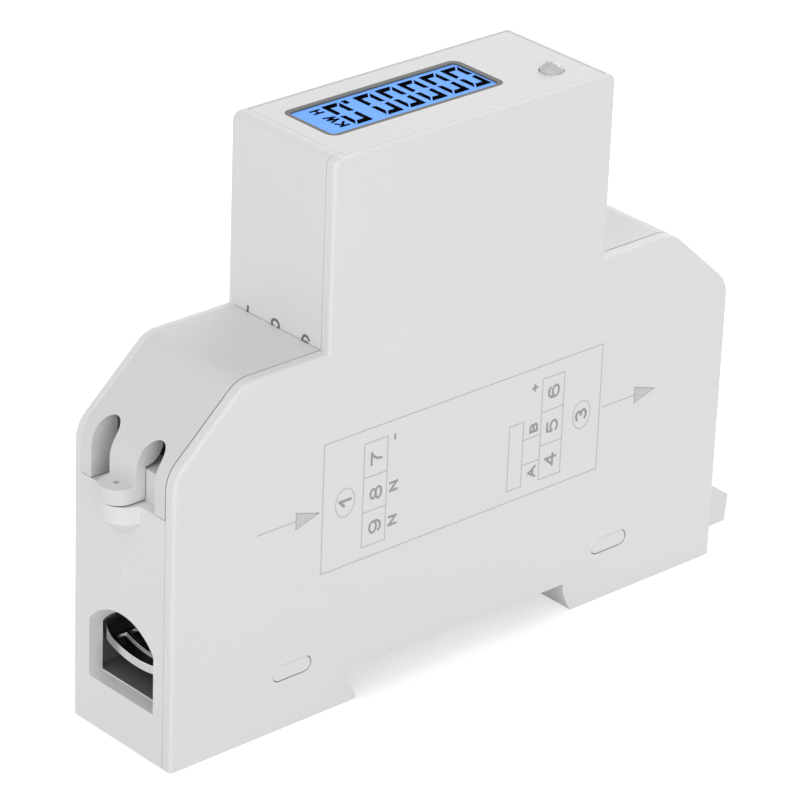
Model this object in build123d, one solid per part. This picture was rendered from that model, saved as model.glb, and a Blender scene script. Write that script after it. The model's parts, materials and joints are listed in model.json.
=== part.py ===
from build123d import *
import os
from math import sqrt

os.makedirs("parts", exist_ok=True)

# One-module rail-mounted energy meter, in millimetres.
# It is drawn from its left end face (x = 0), its near side (y = 0) and the
# underside of its feet (z = 0), and moved to the part frame when it is saved.

# Overall form of the case
BODY_LENGTH = 87.5
BODY_WIDTH = 18.0
BODY_HEIGHT = 70.75
SHOULDER_HEIGHT = 46.9
TOWER_INSET_LEFT = 22.4
TOWER_INSET_RIGHT = 21.7
SLOPE_RUN = 10.0
SLOPE_DROP = 9.0
SHOULDER_RADIUS = 3.8
END_RADIUS = 4.2
TOWER_CORNER_RADIUS = 1.2
WALL = 1.6
END_WALL = 2.0

# Side plates that close the middle frame
NEAR_PLATE = 1.55
FAR_PLATE = 1.2
SIDE_EDGE_RADIUS = 0.45
SEAM_CHAMFER = 0.12
SNAP_LENGTH = 6.0
SNAP_HEIGHT = 2.15
SNAP_INSET = 15.15
SNAP_BOTTOM = 6.45
SNAP_GAP = 0.12
SNAP_END_GAP = 0.3

# Seat for the 35 mm mounting rail
RAIL_SLOT_LEFT = 26.3
RAIL_SLOT_WIDTH = 35.55
RAIL_SLOT_DEPTH = 4.13
HOOK_REACH = 2.0
HOOK_GROOVE = 0.8
FOOT_RAKE = 1.6

# Terminal covers with their springy sealing tongue
COVER_WALL = 1.35
COVER_LAP = 3.9
COVER_GAP = 0.1
TONGUE_WIDTH = 4.75
SLOT_WIDTH = 3.35
SLOT_RISE = 2.2
ROOT_RADIUS = 2.6
ROOT_DROP = 1.0
RIB_WALL = 1.0
RIB_DEPTH = 3.8
EAR_REACH = 2.95
EAR_THICKNESS = 1.9
EAR_LIFT = 0.1
SEAL_HOLE_RADIUS = 0.35
BOSS_RADIUS = 3.1
BOSS_SETBACK = 0.4
BOSS_HEIGHT = 3.3
BOSS_CHAMFER = 1.1

# Space for small wires between the deck and the terminal cover
DECK_DROP = 1.7
POST_WIDTH = 7.45
POST_WALL = 1.5
DECK_FRONT = 4.1
CHAMBER_BACK = 12.7
CHAMBER_WALL = 1.3
CHAMBER_FLOOR = 6.5

# Wire entry of a main terminal
ENTRY_WIDTH = 11.8
ENTRY_DROP = 0.1
ENTRY_RISE = 3.05
ENTRY_SINK = 0.5
ENTRY_TAPER = 1.05

# Main terminal: a cage that a captive screw lifts towards a fixed bar
CAGE_FRONT = 2.3
CAGE_DEPTH = 9.9
CAGE_INNER_WIDTH = 11.5
CAGE_SHEET = 1.04
CAGE_BEND_RADIUS = 2.2
TROUGH_RADIUS = 14.0
FLOOR_GAP = 0.26
JAW_GAP = 0.7
OPEN_SHARE = 13 / 45
SERRATION_START = 0.8
SERRATION_PITCH = 1.85
SERRATION_WIDTH = 1.25
SERRATION_DEPTH = 0.35
SERRATION_SPREAD = 9.0
SERRATION_ROUND = 0.22
NUT_THICKNESS = 3.0
SCREW_INSET = 8.6
SCREW_RADIUS = 2.5
SCREW_HEAD_RADIUS = 3.5
SCREW_HEAD_HEIGHT = 2.9
RUNNING_FIT = 0.05
HEAD_CLEARANCE = 0.25
HEAD_SINK = 0.4
BAR_THICKNESS = 1.6
BAR_WIDTH = 6.0
BAR_GAP = 0.3
SHELF_THICKNESS = 1.2

# Small terminals, three at each end
POLES = 3
POLE_PITCH = 5.0
BLOCK_DEPTH = 7.2
BLOCK_DROP = 1.6
BLOCK_FLOOR = 3.5
BLOCK_WALL = 0.6
SMALL_CAGE_DEPTH = 4.4
SMALL_CAGE_WIDTH = 3.9
SMALL_SHEET = 0.5
SMALL_LIFT = 2.1
SMALL_GAP = 0.3
SMALL_NUT = 1.2
SMALL_BAR = 0.6
SMALL_BAR_WIDTH = 2.4
SMALL_SCREW_RADIUS = 1.2
SMALL_HEAD_RADIUS = 1.7
SMALL_HEAD_HEIGHT = 1.1
SMALL_ENTRY_WIDTH = 2.8
SMALL_SHELF = 0.55
POCKET_GAP = 0.1

# Front plate and display
PLATE_INSET_LEFT = 1.9
PLATE_INSET_RIGHT = 1.3
PLATE_NEAR = 0.55
PLATE_FAR = 0.7
PLATE_THICKNESS = 1.5
PLATE_GAP = 0.08
LEDGE_DEPTH = 1.1
WINDOW_INSET = 4.1
WINDOW_LENGTH = 26.85
WINDOW_WIDTH = 9.15
WINDOW_NEAR = 5.25
WINDOW_RADIUS = 1.3
BEZEL_WALL = 0.65
PANE_THICKNESS = 0.15
PANE_SINK = 0.03
LCD_GAP = 0.1
LIGHT_MARGIN = 1.0
LCD_THICKNESS = 1.6
LIGHT_THICKNESS = 1.9
BOARD_THICKNESS = 1.6
DIGITS = 6
DIGIT_HEIGHT = 6.15
DIGIT_WIDTH = 2.5
DIGIT_PITCH = 3.39
DIGIT_START = 0.4
DIGIT_OFFSET = 0.15
LAST_DIGIT_SPACE = 1.3
STROKE = 0.62
CAP_STROKE = 0.85
CORNER_GAP = 0.16
MIDDLE_GAP = 0.4
DOT_WIDTH = 0.65
DOT_HEIGHT = 0.9
SEGMENT_THICKNESS = 0.05
LED_INSET = 37.7
LED_NEAR = 5.05
LED_RADIUS = 1.5
LED_SINK = 0.45
LED_FLANGE = 0.35

# Rail clip in the right foot
CLIP_REACH = 4.6
CLIP_PLATE_BOTTOM = 2.75
CLIP_PLATE_THICKNESS = 1.8
CLIP_SIDE_GAP = 1.1
CLIP_NOSE_REACH = 1.45
CLIP_NOSE_WIDTH = 8.0
CLIP_NOSE_BOTTOM = 0.9
CLIP_NOSE_TOP = 3.0
CLIP_TAB_TOP = 8.2
CLIP_TAB_TIP_TOP = 6.3
CLIP_WEB_TOP = 5.6
CLIP_CHEEK = 1.4
CLIP_TRAVEL = 3.0
CLIP_GAP = 0.15
CLIP_PEG = 2.0

# Circuit boards and the parts they carry
MAIN_BOARD_FACE = 14.6
MAIN_BOARD_INSET = 2.6
MAIN_BOARD_RISE = 2.0
MAIN_BOARD_DROP = 2.5
SHUNT_LENGTH = 15.5
SHUNT_WIDTH = 5.5
CAPACITOR_DEPTH = 9.0
VARISTOR_DEPTH = 4.0
FILM_DEPTH = 9.0
CHIP_DEPTH = 2.4
CONTROL_DEPTH = 1.4
OPTO_DEPTH = 3.5
CRYSTAL_RADIUS = 1.0
CHIP_LEG = 1.0
HEADER_DEPTH = 2.2

# Places that follow from the sizes above
TOWER_LEFT = TOWER_INSET_LEFT
TOWER_RIGHT = BODY_LENGTH - TOWER_INSET_RIGHT
RAIL_SLOT_RIGHT = RAIL_SLOT_LEFT + RAIL_SLOT_WIDTH
SLOPE_FOOT = SHOULDER_HEIGHT - SLOPE_DROP
MID_NEAR = NEAR_PLATE
MID_FAR = BODY_WIDTH - FAR_PLATE
MID_Y = (MID_NEAR + MID_FAR) / 2
DECK_HEIGHT = SLOPE_FOOT - DECK_DROP
COVER_BOTTOM = DECK_HEIGHT - COVER_LAP
LEDGE_HEIGHT = COVER_BOTTOM - COVER_GAP
SLOT_TOP = SLOPE_FOOT + SLOT_RISE
ROOT_HEIGHT = SLOT_TOP - ROOT_DROP
BOSS_BOTTOM = LEDGE_HEIGHT - BOSS_HEIGHT
POST_FRONT = COVER_WALL + COVER_GAP
CHAMBER_END = CHAMBER_BACK + CHAMBER_WALL

# The main terminal fills the room between the chamber floor and the deck
HEAD_SEAT = DECK_HEIGHT - HEAD_SINK - SCREW_HEAD_HEIGHT
SHELF_BOTTOM = HEAD_SEAT - SHELF_THICKNESS
CAGE_BOTTOM_ROOM = FLOOR_GAP + CAGE_SHEET + JAW_GAP
CAGE_TOP_ROOM = 2 * BAR_GAP + NUT_THICKNESS
CAGE_ROOM = SHELF_BOTTOM - CHAMBER_FLOOR - BAR_THICKNESS
CAGE_TRAVEL = (CAGE_ROOM - CAGE_BOTTOM_ROOM - CAGE_TOP_ROOM) / 2
CAGE_DROP = OPEN_SHARE * CAGE_TRAVEL
CAGE_LIFT = CAGE_TRAVEL - CAGE_DROP
JAW_HEIGHT = CHAMBER_FLOOR + FLOOR_GAP + CAGE_SHEET + CAGE_DROP
BAR_BOTTOM = CHAMBER_FLOOR + CAGE_BOTTOM_ROOM + CAGE_TRAVEL
BAR_TOP = BAR_BOTTOM + BAR_THICKNESS
NUT_BOTTOM = BAR_TOP + BAR_GAP + CAGE_DROP
NUT_TOP = NUT_BOTTOM + NUT_THICKNESS
ENTRY_TOP = BAR_BOTTOM - ENTRY_SINK
ENTRY_SHOULDER = ENTRY_TOP - ENTRY_RISE
ENTRY_BOTTOM = CHAMBER_FLOOR - ENTRY_DROP

# A small terminal hangs from the top of its block
BLOCK_TOP = SHOULDER_HEIGHT - BLOCK_DROP
SMALL_HEAD_SEAT = BLOCK_TOP - SMALL_HEAD_HEIGHT - RUNNING_FIT
SMALL_POCKET_TOP = SMALL_HEAD_SEAT - SMALL_SHELF
SMALL_NUT_TOP = SMALL_POCKET_TOP - POCKET_GAP - SMALL_LIFT
SMALL_NUT_BOTTOM = SMALL_NUT_TOP - SMALL_NUT
SMALL_BAR_TOP = SMALL_NUT_BOTTOM - SMALL_GAP
SMALL_BAR_BOTTOM = SMALL_BAR_TOP - SMALL_BAR
SMALL_JAW_HEIGHT = SMALL_BAR_BOTTOM - SMALL_GAP - SMALL_LIFT
BLOCK_BOTTOM = SMALL_JAW_HEIGHT - SMALL_SHEET - BLOCK_FLOOR
TERMINAL_BOARD_TOP = BLOCK_BOTTOM

# The display stack hangs from the top of the tower
PLATE_LEFT = TOWER_LEFT + PLATE_INSET_LEFT
PLATE_RIGHT = TOWER_RIGHT - PLATE_INSET_RIGHT
PLATE_BOTTOM = BODY_HEIGHT - PLATE_THICKNESS
WINDOW_LEFT = TOWER_LEFT + WINDOW_INSET
PANE_TOP = BODY_HEIGHT - PANE_SINK
PANE_BOTTOM = PANE_TOP - PANE_THICKNESS
LCD_TOP = PANE_BOTTOM - SEGMENT_THICKNESS - 0.02
LCD_BOTTOM = LCD_TOP - LCD_THICKNESS
LIGHT_BOTTOM = LCD_BOTTOM - LIGHT_THICKNESS
DISPLAY_BOARD_BOTTOM = LIGHT_BOTTOM - BOARD_THICKNESS
MAIN_BOARD_BOTTOM = BAR_TOP + MAIN_BOARD_RISE
MAIN_BOARD_TOP = DISPLAY_BOARD_BOTTOM - MAIN_BOARD_DROP
BOARD_LEFT = TOWER_LEFT + MAIN_BOARD_INSET
BOARD_RIGHT = TOWER_RIGHT - MAIN_BOARD_INSET
TERMINAL_BOARD_REACH = 3 * MAIN_BOARD_INSET
PARTS_LEFT = TOWER_LEFT + TERMINAL_BOARD_REACH + COVER_GAP
PARTS_RIGHT = TOWER_RIGHT - TERMINAL_BOARD_REACH - COVER_GAP
FRAME_X = (BODY_LENGTH + CLIP_REACH - EAR_REACH) / 2


def block(x0, x1, y0, y1, z0, z1):
    """A box between two corners."""
    centre = Pos((x0 + x1) / 2, (y0 + y1) / 2, (z0 + z1) / 2)
    return centre * Box(x1 - x0, y1 - y0, z1 - z0)


def rod(x, y, z0, z1, radius):
    """An upright cylinder."""
    return Pos(x, y, (z0 + z1) / 2) * Cylinder(radius, z1 - z0)


def cross_rod(x, z, y0, y1, radius):
    """A cylinder that runs across the width."""
    return Pos(x, (y0 + y1) / 2, z) * Rot(90, 0, 0) * Cylinder(radius, y1 - y0)


def across(face, y0, y1):
    """A side profile, drawn in X and Z, carried across the width."""
    return extrude(Plane.XZ.offset(-y0) * face, amount=y0 - y1)


def along(face, x0, x1):
    """An end profile, drawn in Y and Z, carried along the length."""
    return extrude(Plane.YZ.offset(x0) * face, amount=x1 - x0)


def at_right_end(shape):
    """The mirror image of a left-end piece, at the right end."""
    return mirror(shape, about=Plane.YZ.offset(BODY_LENGTH / 2))


def save(name, shape):
    """Move a piece to the part frame and write it."""
    placed = Pos(-FRAME_X, -BODY_WIDTH / 2, 0) * shape
    placed.label = name
    export_step(placed, f"parts/{name}.step")


def foot_edges():
    """The two curved faces of the rail slot: the hook lip and the raked foot."""
    hook_x = RAIL_SLOT_LEFT + HOOK_REACH
    hook_z = RAIL_SLOT_DEPTH - HOOK_GROOVE
    hook_mid = (RAIL_SLOT_LEFT + 0.66 * HOOK_REACH, 0.53 * hook_z)
    hook = ThreePointArc((hook_x, 0), hook_mid, (RAIL_SLOT_LEFT, hook_z))
    rake_x = RAIL_SLOT_RIGHT + FOOT_RAKE
    rake_mid = (RAIL_SLOT_RIGHT + 0.34 * FOOT_RAKE, 0.53 * hook_z)
    rake = ThreePointArc((RAIL_SLOT_RIGHT, hook_z), rake_mid, (rake_x, 0))
    return hook, rake


def case_outline():
    """Side silhouette of the case with its sloping shoulders and rail slot."""
    hook, rake = foot_edges()
    hook_z = RAIL_SLOT_DEPTH - HOOK_GROOVE
    ceiling = Polyline(
        (RAIL_SLOT_LEFT, hook_z),
        (RAIL_SLOT_LEFT, RAIL_SLOT_DEPTH),
        (RAIL_SLOT_RIGHT, RAIL_SLOT_DEPTH),
        (RAIL_SLOT_RIGHT, hook_z),
    )
    body = FilletPolyline(
        (RAIL_SLOT_RIGHT + FOOT_RAKE, 0),
        (BODY_LENGTH, 0),
        (BODY_LENGTH, SLOPE_FOOT),
        (BODY_LENGTH - SLOPE_RUN, SHOULDER_HEIGHT),
        (TOWER_RIGHT, SHOULDER_HEIGHT),
        (TOWER_RIGHT, BODY_HEIGHT),
        (TOWER_LEFT, BODY_HEIGHT),
        (TOWER_LEFT, SHOULDER_HEIGHT),
        (SLOPE_RUN, SHOULDER_HEIGHT),
        (0, SLOPE_FOOT),
        (0, 0),
        (RAIL_SLOT_LEFT + HOOK_REACH, 0),
        radius=[
            0,
            END_RADIUS,
            SHOULDER_RADIUS,
            0,
            TOWER_CORNER_RADIUS,
            TOWER_CORNER_RADIUS,
            0,
            SHOULDER_RADIUS,
            END_RADIUS,
            0,
        ],
    )
    return make_face(Curve() + [hook, ceiling, rake, body])


OUTLINE = case_outline()


def inner_outline(wall):
    """The silhouette, moved inwards by a wall."""
    return offset(OUTLINE, amount=-wall, kind=Kind.INTERSECTION)


def rectangle(x0, x1, z0, z1):
    """A rectangle between two corners."""
    return Pos((x0 + x1) / 2, (z0 + z1) / 2) * Rectangle(x1 - x0, z1 - z0)


def entry_profile(drop):
    """Wire entry: straight sides under a low arch that may lie a little lower."""
    half = ENTRY_WIDTH / 2
    sides = Polyline(
        (MID_Y - half, ENTRY_SHOULDER - drop),
        (MID_Y - half, ENTRY_BOTTOM),
        (MID_Y + half, ENTRY_BOTTOM),
        (MID_Y + half, ENTRY_SHOULDER - drop),
    )
    arch = ThreePointArc(
        (MID_Y + half, ENTRY_SHOULDER - drop),
        (MID_Y, ENTRY_TOP - drop),
        (MID_Y - half, ENTRY_SHOULDER - drop),
    )
    return make_face(Curve() + [sides, arch])


def wire_entry():
    """The entry through the end wall, with a ceiling that slopes down inwards."""
    outer = Plane.YZ * entry_profile(0)
    inner = Plane.YZ.offset(END_WALL) * entry_profile(ENTRY_TAPER)
    return loft(Sketch() + [outer, inner])


def snap_profile(centre_x, gap):
    """An obround snap or its window, by how much smaller it is."""
    length = SNAP_LENGTH - 2 * gap
    place = Pos(centre_x, SNAP_BOTTOM + SNAP_HEIGHT / 2)
    return place * SlotOverall(length, SNAP_HEIGHT - 2 * gap)


def snap_centres():
    """Where the obround snaps of the two feet lie along the length."""
    centre = SNAP_INSET + SNAP_LENGTH / 2
    return [centre, BODY_LENGTH - centre]


def sealing_boss():
    """Half-round boss under the ear of a terminal cover."""
    boss = rod(BOSS_SETBACK, MID_Y, BOSS_BOTTOM, LEDGE_HEIGHT, BOSS_RADIUS)
    lower = boss.edges().group_by(Axis.Z)[0]
    boss = chamfer(lower, BOSS_CHAMFER)
    boss = boss - block(0, BOSS_RADIUS + 1, 0, BODY_WIDTH, 0, BODY_HEIGHT)
    hole_x = (BOSS_SETBACK - BOSS_RADIUS) / 3
    return boss - rod(hole_x, MID_Y, BOSS_BOTTOM - 1, BODY_HEIGHT, SEAL_HOLE_RADIUS)


def terminal_end():
    """Walls of the left end: wire chamber, screw deck, post and ledge."""
    post_near = MID_Y - TONGUE_WIDTH / 2 - SLOT_WIDTH + RUNNING_FIT
    chamber = block(0, END_WALL, MID_NEAR, MID_FAR, WALL, LEDGE_HEIGHT)
    chamber += block(WALL, CHAMBER_END, MID_NEAR, MID_FAR, CHAMBER_FLOOR - WALL, CHAMBER_FLOOR)
    chamber += block(CHAMBER_BACK, CHAMBER_END, MID_NEAR, MID_FAR, CHAMBER_FLOOR, DECK_HEIGHT)
    chamber += block(DECK_FRONT, CHAMBER_END, MID_NEAR, MID_FAR, SHELF_BOTTOM, DECK_HEIGHT)
    chamber += block(0, DECK_FRONT, MID_NEAR, MID_FAR, SHELF_BOTTOM, LEDGE_HEIGHT)
    guide = (MID_FAR - MID_NEAR - CAGE_INNER_WIDTH) / 2 - CAGE_SHEET - HEAD_CLEARANCE
    for y in (MID_NEAR, MID_FAR - guide):
        chamber += block(END_WALL, CHAMBER_BACK, y, y + guide, CHAMBER_FLOOR, SHELF_BOTTOM)
    post = block(
        POST_FRONT,
        POST_FRONT + POST_WALL,
        post_near,
        post_near + POST_WIDTH,
        LEDGE_HEIGHT,
        DECK_HEIGHT,
    )
    post += block(
        POST_FRONT,
        DECK_FRONT,
        post_near,
        post_near + POST_WIDTH,
        DECK_HEIGHT - POST_WALL,
        DECK_HEIGHT,
    )
    chamber += post
    chamber += sealing_boss()
    chamber -= rod(SCREW_INSET, MID_Y, HEAD_SEAT, DECK_HEIGHT, SCREW_HEAD_RADIUS + HEAD_CLEARANCE)
    chamber -= rod(SCREW_INSET, MID_Y, SHELF_BOTTOM, DECK_HEIGHT, SCREW_RADIUS + HEAD_CLEARANCE)
    bar_half = BAR_WIDTH / 2 + PLATE_GAP
    slot_low = BAR_BOTTOM - PLATE_GAP
    slot_high = BAR_TOP + PLATE_GAP
    chamber -= block(
        CHAMBER_BACK, CHAMBER_END, MID_Y - bar_half, MID_Y + bar_half, slot_low, slot_high
    )
    return chamber


def tower_wall(inset):
    """Lower tower wall and the floor under the small terminals and their board."""
    board_low = TERMINAL_BOARD_TOP - BOARD_THICKNESS
    floor_low = board_low - WALL
    wall = block(inset, inset + WALL, MID_NEAR, MID_FAR, floor_low, SHOULDER_HEIGHT)
    wall -= block(
        inset, inset + WALL, MID_NEAR, MAIN_BOARD_FACE, board_low, TERMINAL_BOARD_TOP
    )
    return wall + block(CHAMBER_END, inset, MID_NEAR, MID_FAR, floor_low, board_low)


def cover_zone(inset):
    """The space at the left end that its terminal cover takes up."""
    return block(-1, inset, 0, BODY_WIDTH, LEDGE_HEIGHT, SHOULDER_HEIGHT + 1)


def clip_pocket():
    """Channel for the rail clip and for its nose, open to slot and end face."""
    side = CLIP_SIDE_GAP - CLIP_GAP
    top = CLIP_PLATE_BOTTOM + CLIP_PLATE_THICKNESS + CLIP_GAP
    nose = CLIP_NOSE_WIDTH / 2 + CLIP_GAP
    pocket = block(
        RAIL_SLOT_RIGHT + CLIP_GAP,
        BODY_LENGTH,
        MID_NEAR + side,
        MID_FAR - side,
        CLIP_PLATE_BOTTOM - CLIP_GAP,
        top,
    )
    pocket += block(
        RAIL_SLOT_RIGHT - 1,
        RAIL_SLOT_RIGHT + 2 * CLIP_TRAVEL + CLIP_GAP,
        MID_Y - nose,
        MID_Y + nose,
        CLIP_NOSE_BOTTOM - CLIP_GAP,
        top,
    )
    return pocket


def clip_peg_x():
    """Centre of the peg that stops the rail clip."""
    return BODY_LENGTH - CLIP_PEG * 4


def snap_bars():
    """Bars across the feet that end in a snap at each side plate."""
    bars = []
    for centre, wall in zip(snap_centres(), (CHAMBER_END, BODY_LENGTH - CHAMBER_END)):
        bar = across(snap_profile(centre, SNAP_GAP), SNAP_GAP, BODY_WIDTH - SNAP_GAP)
        bar += block(
            min(wall, centre),
            max(wall, centre),
            MID_NEAR,
            MID_FAR,
            SNAP_BOTTOM + SNAP_GAP,
            SNAP_BOTTOM + SNAP_HEIGHT - SNAP_GAP,
        )
        bars.append(bar)
    return bars[0] + bars[1]


def case_body():
    """Middle frame of the case, closed by a plate on each side."""
    ring = across(OUTLINE - inner_outline(WALL), MID_NEAR, MID_FAR)
    ring -= cover_zone(TOWER_INSET_LEFT)
    ring -= at_right_end(cover_zone(TOWER_INSET_RIGHT))
    ring += terminal_end()
    ring += at_right_end(terminal_end())
    ring += tower_wall(TOWER_INSET_LEFT)
    ring += at_right_end(tower_wall(TOWER_INSET_RIGHT))
    entry = wire_entry()
    ring = ring - entry - at_right_end(entry)
    ring -= block(
        PLATE_LEFT - PLATE_GAP,
        PLATE_RIGHT + PLATE_GAP,
        MID_NEAR,
        MID_FAR,
        PLATE_BOTTOM - WALL,
        BODY_HEIGHT,
    )
    for ledge_top in (PLATE_BOTTOM, DISPLAY_BOARD_BOTTOM):
        low = ledge_top - LEDGE_DEPTH
        ring += block(
            TOWER_LEFT, PLATE_LEFT + LEDGE_DEPTH, MID_NEAR, MID_FAR, low, ledge_top
        )
        ring += block(
            PLATE_RIGHT - LEDGE_DEPTH, TOWER_RIGHT, MID_NEAR, MID_FAR, low, ledge_top
        )
    foot = block(
        RAIL_SLOT_RIGHT + FOOT_RAKE, BODY_LENGTH, MID_NEAR, MID_FAR, 0, CHAMBER_FLOOR
    )
    nose_wall = across(OUTLINE & rectangle(0, BODY_LENGTH, 0, CHAMBER_FLOOR), MID_NEAR, MID_FAR)
    nose_zone = block(
        RAIL_SLOT_RIGHT, BODY_LENGTH, MID_NEAR, MID_FAR, 0, CHAMBER_FLOOR
    )
    foot += nose_wall & nose_zone
    ring += foot
    ring -= clip_pocket()
    peg = clip_peg_x()
    ring += block(
        peg - CLIP_PEG / 2,
        peg + CLIP_PEG / 2,
        MID_Y - CLIP_PEG,
        MID_Y + CLIP_PEG,
        WALL,
        CHAMBER_FLOOR,
    )
    return ring + snap_bars()


def side_plate(y0, y1, plate_edge):
    """Flat outer shell with the full silhouette, snap windows and a rebate."""
    plate = across(OUTLINE, y0, y1)
    outer = plate.faces().sort_by(Axis.Y)
    rim = outer[0] if y0 == 0 else outer[-1]
    slot_edge = RAIL_SLOT_DEPTH + RUNNING_FIT
    plate = fillet([e for e in rim.edges() if e.center().Z > slot_edge], SIDE_EDGE_RADIUS)
    joint = plate.faces().sort_by(Axis.Y)[-1 if y0 == 0 else 0]
    plate = chamfer([e for e in joint.edges() if e.center().Z > slot_edge], SEAM_CHAMFER)
    for centre in snap_centres():
        plate -= across(snap_profile(centre, 0), y0, y1)
    rebate = block(
        PLATE_LEFT - PLATE_GAP,
        PLATE_RIGHT + PLATE_GAP,
        min(plate_edge, y1 if y0 == 0 else y0),
        max(plate_edge, y1 if y0 == 0 else y0),
        PLATE_BOTTOM - PLATE_GAP,
        BODY_HEIGHT,
    )
    return plate - rebate


def terminal_cover(inset):
    """Cap over the shoulder, slope and end face, with a sprung sealing tongue."""
    right_edge = inset - COVER_GAP
    zone = rectangle(-1, right_edge, COVER_BOTTOM, SHOULDER_HEIGHT + 1)
    skin = (OUTLINE - inner_outline(COVER_WALL)) & zone
    near = MID_NEAR + COVER_GAP
    far = MID_FAR - COVER_GAP
    cover = across(skin, near, far)
    inside = across(inner_outline(COVER_WALL / 2) & zone, near, far)
    half = TONGUE_WIDTH / 2
    slot_low = COVER_BOTTOM - 1
    slot_mid = SLOT_TOP - SLOT_WIDTH / 2
    for side in (-1, 1):
        centre = MID_Y + side * (half + SLOT_WIDTH / 2)
        rib_y = MID_Y + side * (half + SLOT_WIDTH + RIB_WALL / 2)
        rib = block(
            0,
            RIB_DEPTH,
            rib_y - RIB_WALL / 2,
            rib_y + RIB_WALL / 2,
            COVER_BOTTOM,
            SLOT_TOP,
        )
        cover += rib & inside
        slot = block(
            -1, RIB_DEPTH, centre - SLOT_WIDTH / 2, centre + SLOT_WIDTH / 2, slot_low, slot_mid
        )
        slot += Pos(RIB_DEPTH / 2 - 0.5, centre, slot_mid) * Rot(0, 90, 0) * Cylinder(
            SLOT_WIDTH / 2, RIB_DEPTH + 1
        )
        cover -= slot
    root = cross_rod(COVER_WALL, ROOT_HEIGHT, MID_Y - half, MID_Y + half, ROOT_RADIUS)
    cover += root & inside & block(
        0, BODY_LENGTH, 0, BODY_WIDTH, ROOT_HEIGHT - ROOT_RADIUS, SLOT_TOP
    )
    ear_low = COVER_BOTTOM + EAR_LIFT
    ear_top = ear_low + EAR_THICKNESS
    ear = rod(half - EAR_REACH, MID_Y, ear_low, ear_top, half)
    ear += block(half - EAR_REACH, COVER_WALL, MID_Y - half, MID_Y + half, ear_low, ear_top)
    ear &= block(-BODY_WIDTH, COVER_WALL, 0, BODY_WIDTH, ear_low, ear_top)
    ear = fillet(ear.edges().group_by(Axis.Z)[-1].filter_by(GeomType.CIRCLE), 0.2)
    hole_x = (BOSS_SETBACK - BOSS_RADIUS) / 3
    ear -= rod(hole_x, MID_Y, 0, BODY_HEIGHT, SEAL_HOLE_RADIUS)
    cover -= block(-1, COVER_WALL + RUNNING_FIT, MID_Y - half, MID_Y + half, slot_low, ear_low)
    return cover + ear


def jaw_section(grow):
    """Inside of a lifting cage: a dished trough with rounded corners."""
    half = CAGE_INNER_WIDTH / 2 + grow
    low = JAW_HEIGHT - grow
    high = NUT_BOTTOM if grow < CAGE_SHEET else NUT_TOP
    radius = TROUGH_RADIUS + grow
    corner = low + radius - sqrt(radius**2 - half**2)
    dish = ThreePointArc((MID_Y - half, corner), (MID_Y, low), (MID_Y + half, corner))
    sides = Polyline(
        (MID_Y + half, corner), (MID_Y + half, high), (MID_Y - half, high), (MID_Y - half, corner)
    )
    face = make_face(Curve() + [dish, sides])
    corners = face.vertices().sort_by(Axis.Y)[:2]
    return fillet(corners, CAGE_BEND_RADIUS + grow)


def clamp_cage():
    """Bent steel cage with a serrated trough below and a nut plate above."""
    outer = jaw_section(CAGE_SHEET)
    inner = jaw_section(0)
    cage = along(outer - inner, CAGE_FRONT, CAGE_FRONT + CAGE_DEPTH)
    groove = jaw_section(SERRATION_DEPTH) - inner
    groove &= Pos(MID_Y, JAW_HEIGHT) * Rectangle(SERRATION_SPREAD, 2 * CAGE_BEND_RADIUS)
    count = int((CAGE_DEPTH - SERRATION_START) / SERRATION_PITCH)
    for n in range(count):
        x = CAGE_FRONT + SERRATION_START + SERRATION_PITCH * n
        cage -= along(groove, x, x + SERRATION_WIDTH)
    crests = [
        edge
        for edge in cage.edges()
        if abs(edge.center().Z - JAW_HEIGHT) < SERRATION_DEPTH / 2
        and CAGE_FRONT + SERRATION_PITCH * 0.2 < edge.center().X < CAGE_FRONT + CAGE_DEPTH - 0.2
        and edge.length > SERRATION_SPREAD * 0.8
    ]
    cage = fillet(crests, SERRATION_ROUND)
    bore = SCREW_RADIUS + RUNNING_FIT
    return cage - rod(SCREW_INSET, MID_Y, NUT_BOTTOM, NUT_TOP, bore)


def cross_screw(x, y, tip, seat, head_height, radius, head_radius):
    """Captive clamp screw with a cross recess in its cylindrical head."""
    top = seat + head_height
    screw = rod(x, y, tip, seat, radius)
    screw = chamfer(screw.edges().group_by(Axis.Z)[0], radius * 0.2)
    head = rod(x, y, seat, top, head_radius)
    head = chamfer(head.edges().group_by(Axis.Z)[-1], head_radius * 0.08)
    arm = head_radius * 0.72
    blade = head_radius * 0.13
    depth = head_height * 0.6
    recess = block(x - arm, x + arm, y - blade, y + blade, top - depth, top)
    recess += block(x - blade, x + blade, y - arm, y + arm, top - depth, top)
    return screw + head - recess


def current_bar():
    """Copper bar from the left terminal to the shunt."""
    tip = CAGE_FRONT + HEAD_CLEARANCE
    end = (BODY_LENGTH - SHUNT_LENGTH) / 2
    half = BAR_WIDTH / 2
    bar = block(tip, end, MID_Y - half, MID_Y + half, BAR_BOTTOM, BAR_TOP)
    return fillet(bar.edges().filter_by(Axis.Z).group_by(Axis.X)[0], half * 0.3)


def pole_y(pole):
    """Where a small terminal lies across the width."""
    return MID_Y + (pole - (POLES - 1) / 2) * POLE_PITCH


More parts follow.
